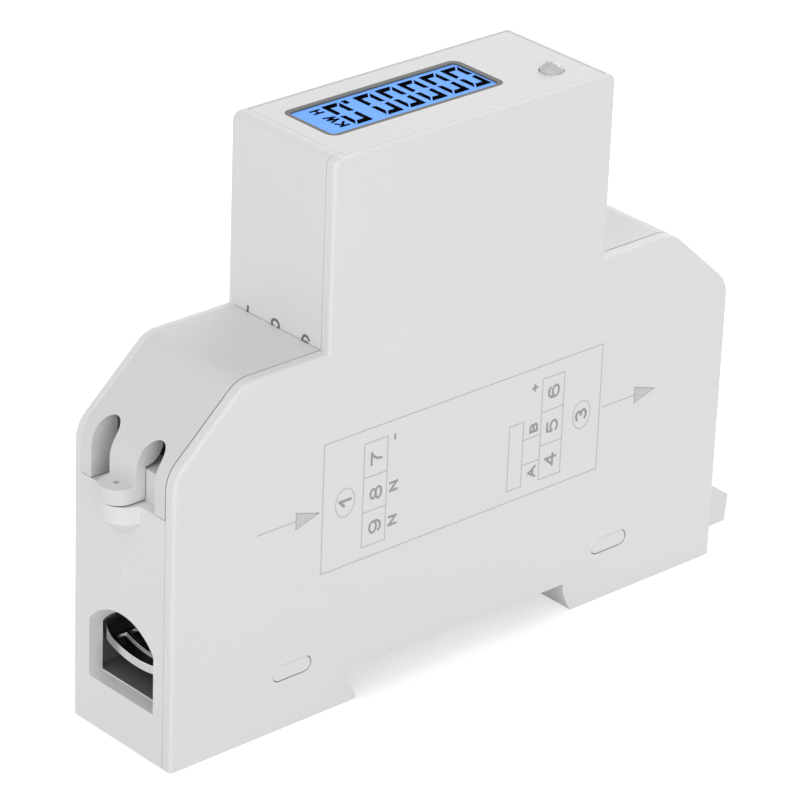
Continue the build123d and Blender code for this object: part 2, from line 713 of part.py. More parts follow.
def signal_block(inset):
    """Moulded block with a pocket, wire entry and screw hole for each pole."""
    back = inset - COVER_GAP * 3
    front = back - BLOCK_DEPTH
    low = MID_NEAR + COVER_GAP
    high = MID_FAR - COVER_GAP
    body = block(front, back, low, high, BLOCK_BOTTOM, BLOCK_TOP)
    cage_front = front + BLOCK_WALL
    for pole in range(POLES):
        y = pole_y(pole)
        half = SMALL_CAGE_WIDTH / 2 + POCKET_GAP
        pocket_end = cage_front + SMALL_CAGE_DEPTH + 2 * POCKET_GAP
        pocket_low = SMALL_JAW_HEIGHT - SMALL_SHEET - POCKET_GAP
        pocket_high = SMALL_POCKET_TOP
        body -= block(cage_front, pocket_end, y - half, y + half, pocket_low, pocket_high)
        entry = SMALL_ENTRY_WIDTH / 2
        body -= block(front, cage_front, y - entry, y + entry, SMALL_JAW_HEIGHT, SMALL_BAR_BOTTOM)
        bar = SMALL_BAR_WIDTH / 2 + POCKET_GAP / 2
        bar_end = pocket_end + SMALL_BAR + POCKET_GAP
        body -= block(
            pocket_end, bar_end, y - bar, y + bar, BLOCK_BOTTOM, SMALL_BAR_TOP + POCKET_GAP
        )
        screw_x = cage_front + POCKET_GAP + SMALL_CAGE_DEPTH / 2
        body -= rod(screw_x, y, pocket_high, BLOCK_TOP, SMALL_SCREW_RADIUS + POCKET_GAP)
        body -= rod(screw_x, y, SMALL_HEAD_SEAT, BLOCK_TOP, SMALL_HEAD_RADIUS + POCKET_GAP)
    return body


def signal_cage(inset, pole):
    """Small lifting cage of one pole."""
    front = inset - COVER_GAP * 3 - BLOCK_DEPTH + BLOCK_WALL + POCKET_GAP
    back = front + SMALL_CAGE_DEPTH
    y = pole_y(pole)
    half = SMALL_CAGE_WIDTH / 2
    inner = half - SMALL_SHEET
    cage = block(
        front, back, y - half, y + half, SMALL_JAW_HEIGHT - SMALL_SHEET, SMALL_NUT_TOP
    )
    cage -= block(front, back, y - inner, y + inner, SMALL_JAW_HEIGHT, SMALL_NUT_BOTTOM)
    bore = SMALL_SCREW_RADIUS + RUNNING_FIT
    return cage - rod((front + back) / 2, y, SMALL_NUT_BOTTOM, SMALL_NUT_TOP, bore)


def signal_screw(inset, pole):
    """Captive screw of one small terminal."""
    front = inset - COVER_GAP * 3 - BLOCK_DEPTH + BLOCK_WALL + POCKET_GAP
    return cross_screw(
        front + SMALL_CAGE_DEPTH / 2,
        pole_y(pole),
        SMALL_BAR_TOP + RUNNING_FIT,
        SMALL_HEAD_SEAT,
        SMALL_HEAD_HEIGHT,
        SMALL_SCREW_RADIUS,
        SMALL_HEAD_RADIUS,
    )


def signal_contacts(inset):
    """Bent contact strips, one for each pole, down to their board."""
    front = inset - COVER_GAP * 3 - BLOCK_DEPTH + BLOCK_WALL + POCKET_GAP
    bend = front + SMALL_CAGE_DEPTH + 2 * POCKET_GAP
    half = SMALL_BAR_WIDTH / 2
    strips = []
    for pole in range(POLES):
        y = pole_y(pole)
        strip = block(
            front, bend + SMALL_BAR, y - half, y + half, SMALL_BAR_BOTTOM, SMALL_BAR_TOP
        )
        strip += block(bend, bend + SMALL_BAR, y - half, y + half, BLOCK_BOTTOM, SMALL_BAR_TOP)
        strips.append(strip)
    return Compound(strips)


def terminal_board(inset):
    """Small board under a block of small terminals, butted to the main board."""
    front = CHAMBER_END + COVER_GAP
    back = inset + TERMINAL_BOARD_REACH
    return block(
        front,
        back,
        MID_NEAR + COVER_GAP,
        MAIN_BOARD_FACE - COVER_GAP / 2,
        TERMINAL_BOARD_TOP - BOARD_THICKNESS,
        TERMINAL_BOARD_TOP,
    )


def display_opening(inset):
    """Rounded rectangle of the display window, made smaller by an inset."""
    centre = Pos(WINDOW_LEFT + WINDOW_LENGTH / 2, WINDOW_NEAR + WINDOW_WIDTH / 2)
    length = WINDOW_LENGTH - 2 * inset
    width = WINDOW_WIDTH - 2 * inset
    return centre * RectangleRounded(length, width, WINDOW_RADIUS - inset)


def level(face, z0, z1):
    """A plan profile, drawn in X and Y, carried upwards."""
    return extrude(Pos(0, 0, z0) * face, amount=z1 - z0)


def front_plate():
    """Front label plate with the display opening and the lamp hole."""
    plate = block(
        PLATE_LEFT, PLATE_RIGHT, PLATE_NEAR, BODY_WIDTH - PLATE_FAR, PLATE_BOTTOM, BODY_HEIGHT
    )
    plate = chamfer(plate.faces().sort_by(Axis.Z)[-1].edges(), 0.12)
    plate -= level(display_opening(0), PLATE_BOTTOM, BODY_HEIGHT)
    lamp_x = TOWER_LEFT + LED_INSET
    return plate - rod(lamp_x, LED_NEAR, PLATE_BOTTOM, BODY_HEIGHT, LED_RADIUS + PLATE_GAP / 2)


def display_bezel():
    """Dark frame that holds the display window."""
    ring = display_opening(PLATE_GAP / 4) - display_opening(BEZEL_WALL)
    return level(ring, PLATE_BOTTOM, BODY_HEIGHT - PLATE_GAP / 2)


def display_window():
    """Clear pane inside the bezel."""
    return level(display_opening(BEZEL_WALL + PLATE_GAP / 4), PANE_BOTTOM, PANE_TOP)


def lcd_glass():
    """Display cell that fills the bezel under the pane."""
    return level(display_opening(BEZEL_WALL + LCD_GAP), LCD_BOTTOM, LCD_TOP)


def backlight_panel():
    """Light guide under the display cell, wider than the window."""
    return block(
        WINDOW_LEFT - LIGHT_MARGIN,
        WINDOW_LEFT + WINDOW_LENGTH + LIGHT_MARGIN,
        WINDOW_NEAR - LIGHT_MARGIN,
        WINDOW_NEAR + WINDOW_WIDTH + LIGHT_MARGIN,
        LIGHT_BOTTOM,
        LCD_BOTTOM,
    )


def zero_bars(x, y):
    """The six bars of the digit zero, mitred at the corners."""
    w = DIGIT_WIDTH / 2
    h = DIGIT_HEIGHT / 2
    wide = CORNER_GAP
    tight = CORNER_GAP / 3
    inner_w = w - STROKE
    inner_h = h - CAP_STROKE
    upper = [
        [(tight - w, h), (w - wide, h), (inner_w - wide, inner_h), (tight - inner_w, inner_h)],
        [
            (w, h - wide),
            (inner_w, inner_h - wide),
            (inner_w, CAP_STROKE / 2),
            (w, MIDDLE_GAP / 2),
        ],
        [
            (-w, h - tight),
            (-inner_w, inner_h - tight),
            (-inner_w, CAP_STROKE / 2),
            (-w, MIDDLE_GAP / 2),
        ],
    ]
    bars = []
    for points in upper:
        bar = make_face(Polyline(*points, close=True))
        for turn in (0, 180):
            placed = Pos(x, y) * Rot(0, 0, turn) * bar
            bars.append(level(placed, LCD_TOP, LCD_TOP + SEGMENT_THICKNESS))
    return bars


def lcd_segments():
    """Six zeros and a decimal dot, read from the right end of the meter."""
    middle = WINDOW_NEAR + WINDOW_WIDTH / 2 + DIGIT_OFFSET
    window_right = WINDOW_LEFT + WINDOW_LENGTH - BEZEL_WALL
    first = window_right - DIGIT_START - DIGIT_WIDTH / 2
    bars = []
    for n in range(DIGITS - 1):
        bars += zero_bars(first - n * DIGIT_PITCH, middle)
    last = first - (DIGITS - 1) * DIGIT_PITCH - LAST_DIGIT_SPACE
    bars += zero_bars(last, middle)
    dot_x = last + DIGIT_PITCH / 2 + DOT_WIDTH / 2
    dot_y = middle + (DIGIT_HEIGHT - DOT_HEIGHT) / 2
    dot = Pos(dot_x, dot_y) * Rectangle(DOT_WIDTH, DOT_HEIGHT)
    bars.append(level(dot, LCD_TOP, LCD_TOP + SEGMENT_THICKNESS))
    return Compound(bars)


def pulse_lamp():
    """Three-millimetre lamp with its flange under the front plate."""
    x = TOWER_LEFT + LED_INSET
    centre = BODY_HEIGHT - LED_SINK
    lamp = Pos(x, LED_NEAR, centre) * Sphere(LED_RADIUS)
    lamp += rod(x, LED_NEAR, LCD_BOTTOM, centre, LED_RADIUS)
    flange_top = PLATE_BOTTOM - RUNNING_FIT
    lamp += rod(x, LED_NEAR, LCD_BOTTOM, flange_top, LED_RADIUS + LED_FLANGE)
    for side in (-1, 1):
        leg = side * 0.64
        lamp += block(x + leg - 0.25, x + leg + 0.25, LED_NEAR - 0.25, LED_NEAR + 0.25,
                      LIGHT_BOTTOM, LCD_BOTTOM)
    return lamp


def display_board():
    """Board under the display and the lamp."""
    return block(
        TOWER_LEFT + WALL + COVER_GAP,
        TOWER_RIGHT - WALL - COVER_GAP,
        MID_NEAR + COVER_GAP,
        MID_FAR - COVER_GAP,
        DISPLAY_BOARD_BOTTOM,
        LIGHT_BOTTOM,
    )


def rail_clip():
    """Sliding clip: a nose under the rail, a flat body and a finger tab."""
    plate_top = CLIP_PLATE_BOTTOM + CLIP_PLATE_THICKNESS
    near = MID_NEAR + CLIP_SIDE_GAP
    far = MID_FAR - CLIP_SIDE_GAP
    nose_half = CLIP_NOSE_WIDTH / 2
    tab_start = BODY_LENGTH + CLIP_GAP
    body = block(
        RAIL_SLOT_RIGHT + 2 * CLIP_GAP, tab_start, near, far, CLIP_PLATE_BOTTOM, plate_top
    )
    nose_end = RAIL_SLOT_RIGHT + CLIP_TRAVEL - CLIP_GAP
    nose_tip = RAIL_SLOT_RIGHT - CLIP_NOSE_REACH
    nose = make_face(
        Polyline(
            (nose_tip, CLIP_NOSE_TOP - 0.8),
            (nose_tip, CLIP_NOSE_TOP),
            (RAIL_SLOT_RIGHT + 2 * CLIP_GAP, CLIP_NOSE_TOP),
            (RAIL_SLOT_RIGHT + 2 * CLIP_GAP, plate_top),
            (nose_end, plate_top),
            (nose_end, CLIP_NOSE_BOTTOM),
            (RAIL_SLOT_RIGHT + CLIP_GAP, CLIP_NOSE_BOTTOM),
            close=True,
        )
    )
    body += across(nose, MID_Y - nose_half, MID_Y + nose_half)
    peg = clip_peg_x()
    window_left = peg - CLIP_PEG / 2 - CLIP_TRAVEL - 2 * CLIP_GAP
    window_right = peg + CLIP_PEG / 2 + 2 * CLIP_GAP
    window_half = CLIP_PEG + CLIP_GAP
    body -= block(
        window_left, window_right, MID_Y - window_half, MID_Y + window_half, 0, CHAMBER_FLOOR
    )
    tip = BODY_LENGTH + CLIP_REACH
    low = CLIP_PLATE_BOTTOM - CLIP_GAP
    cheek = make_face(
        Polyline(
            (tab_start, low),
            (tip - 0.3, low),
            (tip, CLIP_TAB_TIP_TOP),
            (tab_start + CLIP_PLATE_THICKNESS, CLIP_TAB_TOP),
            (tab_start, CLIP_TAB_TOP),
            close=True,
        )
    )
    tab_near = MID_NEAR + CLIP_GAP
    tab_far = MID_FAR - CLIP_GAP
    web = cheek & rectangle(tab_start, tip, low, CLIP_WEB_TOP)
    tab = across(web, tab_near, tab_far)
    tab += across(cheek, tab_near, tab_near + CLIP_CHEEK)
    tab += across(cheek, tab_far - CLIP_CHEEK, tab_far)
    return body + tab


def board_spot(along_share, up_share):
    """A point of the main board, by its share of the height and of the length between
    the two terminal boards."""
    x = PARTS_LEFT + along_share * (PARTS_RIGHT - PARTS_LEFT)
    z = MAIN_BOARD_BOTTOM + up_share * (MAIN_BOARD_TOP - MAIN_BOARD_BOTTOM)
    return x, z


def on_board(low, high, depth, lift=0.0):
    """A box-shaped part between two spots of the main board."""
    x0, z0 = board_spot(*low)
    x1, z1 = board_spot(*high)
    return block(x0, x1, MAIN_BOARD_FACE - depth, MAIN_BOARD_FACE - lift, z0, z1)


def round_on_board(spot, radius_share, depth):
    """A round part that stands on the main board."""
    x, z = board_spot(*spot)
    radius = radius_share * min(PARTS_RIGHT - PARTS_LEFT, MAIN_BOARD_TOP - MAIN_BOARD_BOTTOM)
    return cross_rod(x, z, MAIN_BOARD_FACE - depth, MAIN_BOARD_FACE, radius)


def legged_chip(low, high, depth, legs):
    """A chip body with rows of gull-wing legs along both long edges."""
    chip = on_board(low, high, depth, RUNNING_FIT * 2)
    x0, z0 = board_spot(*low)
    x1, z1 = board_spot(*high)
    pitch = (x1 - x0) / legs
    overlap = CHIP_LEG / 4
    for n in range(legs):
        leg_x = x0 + pitch * (n + 0.5)
        for leg_low in (z0 - CHIP_LEG + overlap, z1 - overlap):
            chip += block(
                leg_x - pitch / 5,
                leg_x + pitch / 5,
                MAIN_BOARD_FACE - CHIP_LEG / 2,
                MAIN_BOARD_FACE,
                leg_low,
                leg_low + CHIP_LEG,
            )
    return chip


save("case_body", case_body())
save("near_side_plate", side_plate(0, NEAR_PLATE, PLATE_NEAR - PLATE_GAP))
save("far_side_plate", side_plate(MID_FAR, BODY_WIDTH, BODY_WIDTH - PLATE_FAR + PLATE_GAP))
save("front_plate", front_plate())
save("display_bezel", display_bezel())
save("display_window", display_window())
save("lcd_glass", lcd_glass())
save("lcd_segments", lcd_segments())
save("backlight_panel", backlight_panel())
save("display_board", display_board())
save("pulse_lamp", pulse_lamp())
save("rail_clip", rail_clip())

ENDS = {"left": TOWER_INSET_LEFT, "right": TOWER_INSET_RIGHT}
POLE_NUMBERS = {"left": (9, 8, 7), "right": (4, 5, 6)}
for end, inset in ENDS.items():
    place = at_right_end if end == "right" else (lambda shape: shape)
    screw = cross_screw(
        SCREW_INSET,
        MID_Y,
        BAR_TOP + RUNNING_FIT,
        HEAD_SEAT + RUNNING_FIT,
        SCREW_HEAD_HEIGHT,
        SCREW_RADIUS,
        SCREW_HEAD_RADIUS,
    )
    save(f"terminal_cover_{end}", place(terminal_cover(inset)))
    save(f"clamp_cage_{end}", place(clamp_cage()))
    save(f"clamp_screw_{end}", place(screw))
    save(f"current_bar_{end}", place(current_bar()))
    save(f"signal_block_{end}", place(signal_block(inset)))
    save(f"signal_contacts_{end}", place(signal_contacts(inset)))
    save(f"terminal_board_{end}", place(terminal_board(inset)))
    for pole in range(POLES):
        number = POLE_NUMBERS[end][pole]
        save(f"signal_cage_{number}", place(signal_cage(inset, pole)))
        save(f"signal_screw_{number}", place(signal_screw(inset, pole)))

shunt_start = (BODY_LENGTH - SHUNT_LENGTH) / 2
save(
    "current_shunt",
    block(
        shunt_start,
        shunt_start + SHUNT_LENGTH,
        MID_Y - SHUNT_WIDTH / 2,
        MID_Y + SHUNT_WIDTH / 2,
        BAR_BOTTOM,
        BAR_TOP,
    ),
)
save(
    "main_board",
    block(
        BOARD_LEFT,
        BOARD_RIGHT,
        MAIN_BOARD_FACE,
        MAIN_BOARD_FACE + BOARD_THICKNESS,
        MAIN_BOARD_BOTTOM,
        MAIN_BOARD_TOP,
    ),
)
save("supply_capacitor", round_on_board((0.18, 0.46), 0.13, CAPACITOR_DEPTH))
save("film_capacitor", on_board((0.03, 0.08), (0.36, 0.24), FILM_DEPTH))
save("varistor", round_on_board((0.18, 0.80), 0.13, VARISTOR_DEPTH))
save("metering_chip", legged_chip((0.42, 0.08), (0.69, 0.27), CHIP_DEPTH, 8))
save("control_chip", legged_chip((0.42, 0.40), (0.69, 0.66), CONTROL_DEPTH, 11))
crystal_x, crystal_low = board_spot(0.80, 0.44)
crystal_high = board_spot(0.80, 0.60)[1]
save(
    "quartz_crystal",
    rod(crystal_x, MAIN_BOARD_FACE - CRYSTAL_RADIUS, crystal_low, crystal_high, CRYSTAL_RADIUS),
)
save(
    "opto_couplers",
    Compound(
        [
            on_board((share, 0.74), (share + 0.12, 0.90), OPTO_DEPTH)
            for share in (0.46, 0.64)
        ]
    ),
)
header_left = board_spot(0.33, 0)[0]
header_right, header_low = board_spot(0.67, 0.94)
save(
    "board_header",
    block(
        header_left,
        header_right,
        MAIN_BOARD_FACE - HEADER_DEPTH,
        MAIN_BOARD_FACE,
        header_low,
        DISPLAY_BOARD_BOTTOM,
    ),
)
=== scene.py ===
"""Looks of a one-module energy meter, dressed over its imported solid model.

Every length in a class field is in millimetres, or in metres where its name
ends in _m. Places on the meter are measured from the left end face (x), the
printed side plate (y) and the underside of the feet (z).
"""

import json
import logging
from dataclasses import dataclass
from enum import Enum
from typing import Optional, Sequence

import bmesh
import bpy
import numpy as np
from mathutils import Matrix, Vector

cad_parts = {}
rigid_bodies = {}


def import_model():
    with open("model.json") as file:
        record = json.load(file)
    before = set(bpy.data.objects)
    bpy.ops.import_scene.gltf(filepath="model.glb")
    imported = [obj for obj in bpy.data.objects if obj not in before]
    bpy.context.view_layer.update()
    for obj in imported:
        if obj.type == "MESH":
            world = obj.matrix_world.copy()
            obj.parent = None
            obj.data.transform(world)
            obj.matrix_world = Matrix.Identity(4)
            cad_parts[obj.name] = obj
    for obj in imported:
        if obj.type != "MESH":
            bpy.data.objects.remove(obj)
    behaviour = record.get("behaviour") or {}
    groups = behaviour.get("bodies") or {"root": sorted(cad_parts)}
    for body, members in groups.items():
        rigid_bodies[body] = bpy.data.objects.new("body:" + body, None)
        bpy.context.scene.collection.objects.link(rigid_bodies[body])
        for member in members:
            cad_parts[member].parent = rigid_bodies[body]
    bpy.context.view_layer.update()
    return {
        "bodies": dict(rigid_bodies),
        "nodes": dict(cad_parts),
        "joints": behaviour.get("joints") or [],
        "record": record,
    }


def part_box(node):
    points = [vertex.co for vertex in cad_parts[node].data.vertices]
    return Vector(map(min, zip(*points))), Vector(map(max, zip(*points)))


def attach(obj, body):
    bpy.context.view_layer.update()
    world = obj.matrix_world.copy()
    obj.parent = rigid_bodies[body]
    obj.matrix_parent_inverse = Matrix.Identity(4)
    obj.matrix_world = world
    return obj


LOG = logging.getLogger("energy_meter")
MM = 0.001
CASE_BODY = "case"
IMAGE_SIDE = 800

Point = tuple[float, float]
Socket = bpy.types.NodeSocket


def linear(hex_colour: str) -> tuple[float, float, float, float]:
    """Turns an sRGB hex colour into linear values.

    Args:
        hex_colour: Six hex digits after a hash sign.

    Returns:
        Red, green, blue and an alpha of one.
    """
    channels = np.array([int(hex_colour[i : i + 2], 16) for i in (1, 3, 5)]) / 255.0
    low = channels / 12.92
    high = ((channels + 0.055) / 1.055) ** 2.4
    red, green, blue = np.where(channels <= 0.04045, low, high)
    return float(red), float(green), float(blue), 1.0


def add_node(tree: bpy.types.NodeTree, kind: str, inputs: dict, **settings) -> bpy.types.Node:
    """Adds one shader node with its settings, values and links.

    Args:
        tree: The node tree that gets the node.
        kind: The node's type name.
        inputs: Input name or number, to a plain value or to a socket to link.
        **settings: Properties set on the node itself.

    Returns:
        The new node.
    """
    node = tree.nodes.new(kind)
    for key, value in settings.items():
        setattr(node, key, value)
    for key, value in inputs.items():
        if isinstance(value, bpy.types.NodeSocket):
            tree.links.new(value, node.inputs[key])
        else:
            node.inputs[key].default_value = value
    return node


class Side(Enum):
    """A face of the meter that carries print, with its text directions."""

    NEAR = ((0, 0, 1), (-1, 0, 0), (0, -1, 0))
    TOP = ((0, 1, 0), (-1, 0, 0), (0, 0, 1))
    TOWER_END = ((0, 1, 0), (0, 0, -1), (-1, 0, 0))
    END = ((0, -1, 0), (0, 0, 1), (-1, 0, 0))

    def basis(self) -> np.ndarray:
        """Returns reading, up and outward directions as rows."""
        return np.array(self.value, dtype=float)


@dataclass
class Solid:
    """A mesh in the making: points in millimetres and faces."""

    points: np.ndarray
    faces: list

    @staticmethod
    def join(parts: Sequence["Solid"]) -> "Solid":
        """Returns one solid that holds the points and faces of several."""
        points = np.concatenate([part.points for part in parts])
        starts = np.cumsum([0] + [len(part.points) for part in parts[:-1]])
        faces = [tuple(np.array(face) + start) for part, start in zip(parts, starts) for face in part.faces]
        return Solid(points, faces)


@dataclass(frozen=True)
class Datum:
    """Where the measuring corner of the meter lies in the part's frame."""

    corner: tuple[float, float, float]

    @staticmethod
    def from_case() -> "Datum":
        """Reads the corner from the printed side plate."""
        low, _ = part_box("near_side_plate")
        return Datum((low[0], low[1], 0.0))

    def place(self, points: np.ndarray) -> np.ndarray:
        """Turns millimetres from the corner into metres in the part's frame."""
        return np.asarray(points, dtype=float) * MM + np.array(self.corner)


def swept(path: np.ndarray, half_width: float, thickness: float, closed: bool) -> Solid:
    """Carries a flat rectangular section along a path in the plane.

    At each point the section is put across the mean of the two runs that
    meet there, and widened by one over the cosine of half the turn, so that
    corners are mitred.

    Args:
        path: Points in the plane, one row each.
        half_width: Half the width of the band.
        thickness: Height of the band above the plane.
        closed: Whether the path returns to its start.

    Returns:
        The band, with its third coordinate above the plane.
    """
    ahead = np.roll(path, -1, axis=0) - path
    behind = path - np.roll(path, 1, axis=0)
    if not closed:
        ahead[-1] = behind[-1]
        behind[0] = ahead[0]
    ahead /= np.linalg.norm(ahead, axis=1, keepdims=True)
    behind /= np.linalg.norm(behind, axis=1, keepdims=True)
    mean = ahead + behind
    mean /= np.linalg.norm(mean, axis=1, keepdims=True)
    widen = half_width / np.maximum(0.2, np.sum(mean * ahead, axis=1, keepdims=True))
    across = np.stack([-mean[:, 1], mean[:, 0]], axis=1) * widen
    corners = [(1, 0.0), (-1, 0.0), (-1, thickness), (1, thickness)]
    rings = [
        np.concatenate([path + side * across, np.full((len(path), 1), lift)], axis=1)
        for side, lift in corners
    ]
    return grid_solid(np.stack(rings, axis=1), closed)


def grid_solid(grid: np.ndarray, closed: bool) -> Solid:
    """Makes a solid from rings of points.

    Args:
        grid: Points by ring, by place in the ring, by coordinate.
        closed: Whether the last ring meets the first. If not, ends are capped.

    Returns:
        The solid, with quads between rings.
    """
    rings, size = grid.shape[:2]
    number = np.arange(rings * size).reshape(rings, size)
    first = number if closed else number[:-1]
    second = np.roll(number, -1, axis=0) if closed else number[1:]
    quads = np.stack(
        [first, np.roll(first, -1, axis=1), np.roll(second, -1, axis=1), second], axis=-1
    ).reshape(-1, 4)
    faces = [tuple(quad) for quad in quads.tolist()]
    if not closed:
        faces += [tuple(number[0][::-1].tolist()), tuple(number[-1].tolist())]
    return Solid(grid.reshape(-1, 3), faces)


def ellipse(centre: Point, radii: Point, count: int = 64) -> np.ndarray:
    """Returns points at equal angles on an ellipse in the plane."""
    angle = np.linspace(0, 2 * np.pi, count, endpoint=False)
    return np.array(centre) + np.stack([radii[0] * np.cos(angle), radii[1] * np.sin(angle)], axis=1)


def arc(centre: Point, radii: Point, start: float, end: float, count: int = 22) -> np.ndarray:
    """Returns points at equal angles, in degrees, on a stretch of an ellipse."""
    angle = np.radians(np.linspace(start, end, count))
    return np.array(centre) + np.stack([radii[0] * np.cos(angle), radii[1] * np.sin(angle)], axis=1)


def runs(*points: Point) -> list:
    """Splits an open path into its straight runs."""
    return [np.array(pair, dtype=float) for pair in zip(points[:-1], points[1:])]


GLYPHS = {
    "1": runs((-0.5, 0.12), (0.5, 0.5), (0.5, -0.5)),
    "3": [
        arc((-0.04, 0.25), (0.46, 0.25), 160, -90),
        arc((0.0, -0.23), (0.5, 0.27), 90, -158),
    ],
    "4": runs((0.22, -0.5), (0.22, 0.5), (-0.5, -0.2), (0.5, -0.2)),
    "5": runs((0.42, 0.5), (-0.34, 0.5), (-0.42, 0.02)) + [arc((0.0, -0.17), (0.5, 0.33), 146, -152)],
    "6": [
        ellipse((0.0, -0.19), (0.5, 0.31), 28),
        np.concatenate([[(-0.5, -0.19)], arc((0.0, 0.1), (0.5, 0.4), 180, 24)]),
    ],
    "7": runs((-0.5, 0.5), (0.5, 0.5)) + [arc((0.64, -0.5), (0.8, 0.98), 180, 102)],
    "8": [
        ellipse((0.0, 0.26), (0.42, 0.24), 26),
        ellipse((0.0, -0.24), (0.5, 0.26), 28),
    ],
    "9": [
        ellipse((0.0, 0.19), (0.5, 0.31), 28),
        np.concatenate([[(0.5, 0.19)], arc((0.0, -0.1), (0.5, 0.4), 0, -156)]),
    ],
    "A": runs((-0.5, -0.5), (0.0, 0.5), (0.5, -0.5)) + runs((-0.32, -0.16), (0.32, -0.16)),
    "B": runs((-0.5, -0.5), (-0.5, 0.5), (0.1, 0.5))
    + [arc((0.1, 0.26), (0.34, 0.24), 90, -90), arc((0.1, -0.24), (0.4, 0.26), 90, -90)]
    + runs((-0.5, 0.02), (0.1, 0.02))
    + runs((-0.5, -0.5), (0.1, -0.5)),
    "H": runs((-0.5, -0.5), (-0.5, 0.5)) + runs((0.5, -0.5), (0.5, 0.5)) + runs((-0.5, 0.0), (0.5, 0.0)),
    "K": runs((-0.5, -0.5), (-0.5, 0.5)) + runs((0.5, 0.5), (-0.5, -0.1)) + runs((-0.2, 0.1), (0.5, -0.5)),
    "N": runs((-0.5, -0.5), (-0.5, 0.5), (0.5, -0.5), (0.5, 0.5)),
    "W": runs((-0.5, 0.5), (-0.25, -0.5), (0.0, 0.5), (0.25, -0.5), (0.5, 0.5)),
    "+": runs((-0.5, 0.0), (0.5, 0.0)) + runs((0.0, -0.5), (0.0, 0.5)),
    "-": runs((-0.5, 0.0), (0.5, 0.0)),
}


@dataclass(frozen=True)
class Pen:
    """Draws characters as bands of one width.

    Each character is a set of paths in a box from minus a half to a half
    both ways. A straight run has square ends that reach half a band past
    its points, and a ring closes on itself. Each band stands a little
    higher than the one before, so that no two tops lie in one plane.
    """

    band: float
    thickness: float
    rise: float = 0.05

    def stroke(self, path: np.ndarray) -> Solid:
        """Returns the band along one path in the plane."""
        half = self.band / 2
        gap = np.linalg.norm(path[0] - path[-1])
        step = np.linalg.norm(path[1] - path[0])
        if len(path) > 2 and gap < 1.5 * step:
            return swept(path, half, self.thickness, closed=True)
        if len(path) == 2:
            reach = (path[1] - path[0]) / step * half
            path = path + np.array([-reach, reach])
        return swept(path, half, self.thickness, closed=False)

    def write(self, character: str, size: Point) -> Solid:
        """Draws one character about the origin.

        Args:
            character: A key of the table of characters.
            size: Its outer width along the reading direction, and its height.

        Returns:
            The character, with reading along its first coordinate.
        """
        scale = np.maximum(0.0, np.array(size) - self.band)
        parts = [self.stroke(path * scale) for path in GLYPHS[character]]
        for number, part in enumerate(parts):
            part.points[:, 2] *= 1 + self.rise * number
        return Solid.join(parts)


def laid_on(solid: Solid, side: Side, place: tuple[float, float, float]) -> Solid:
    """Lays a flat solid on a face of the meter.

    Args:
        solid: Reading, up and outward coordinates.
        side: The face and its directions.
        place: The point of the face where the solid's origin goes.

    Returns:
        The solid in the measuring frame.
    """
    return Solid(solid.points @ side.basis() + np.array(place), solid.faces)


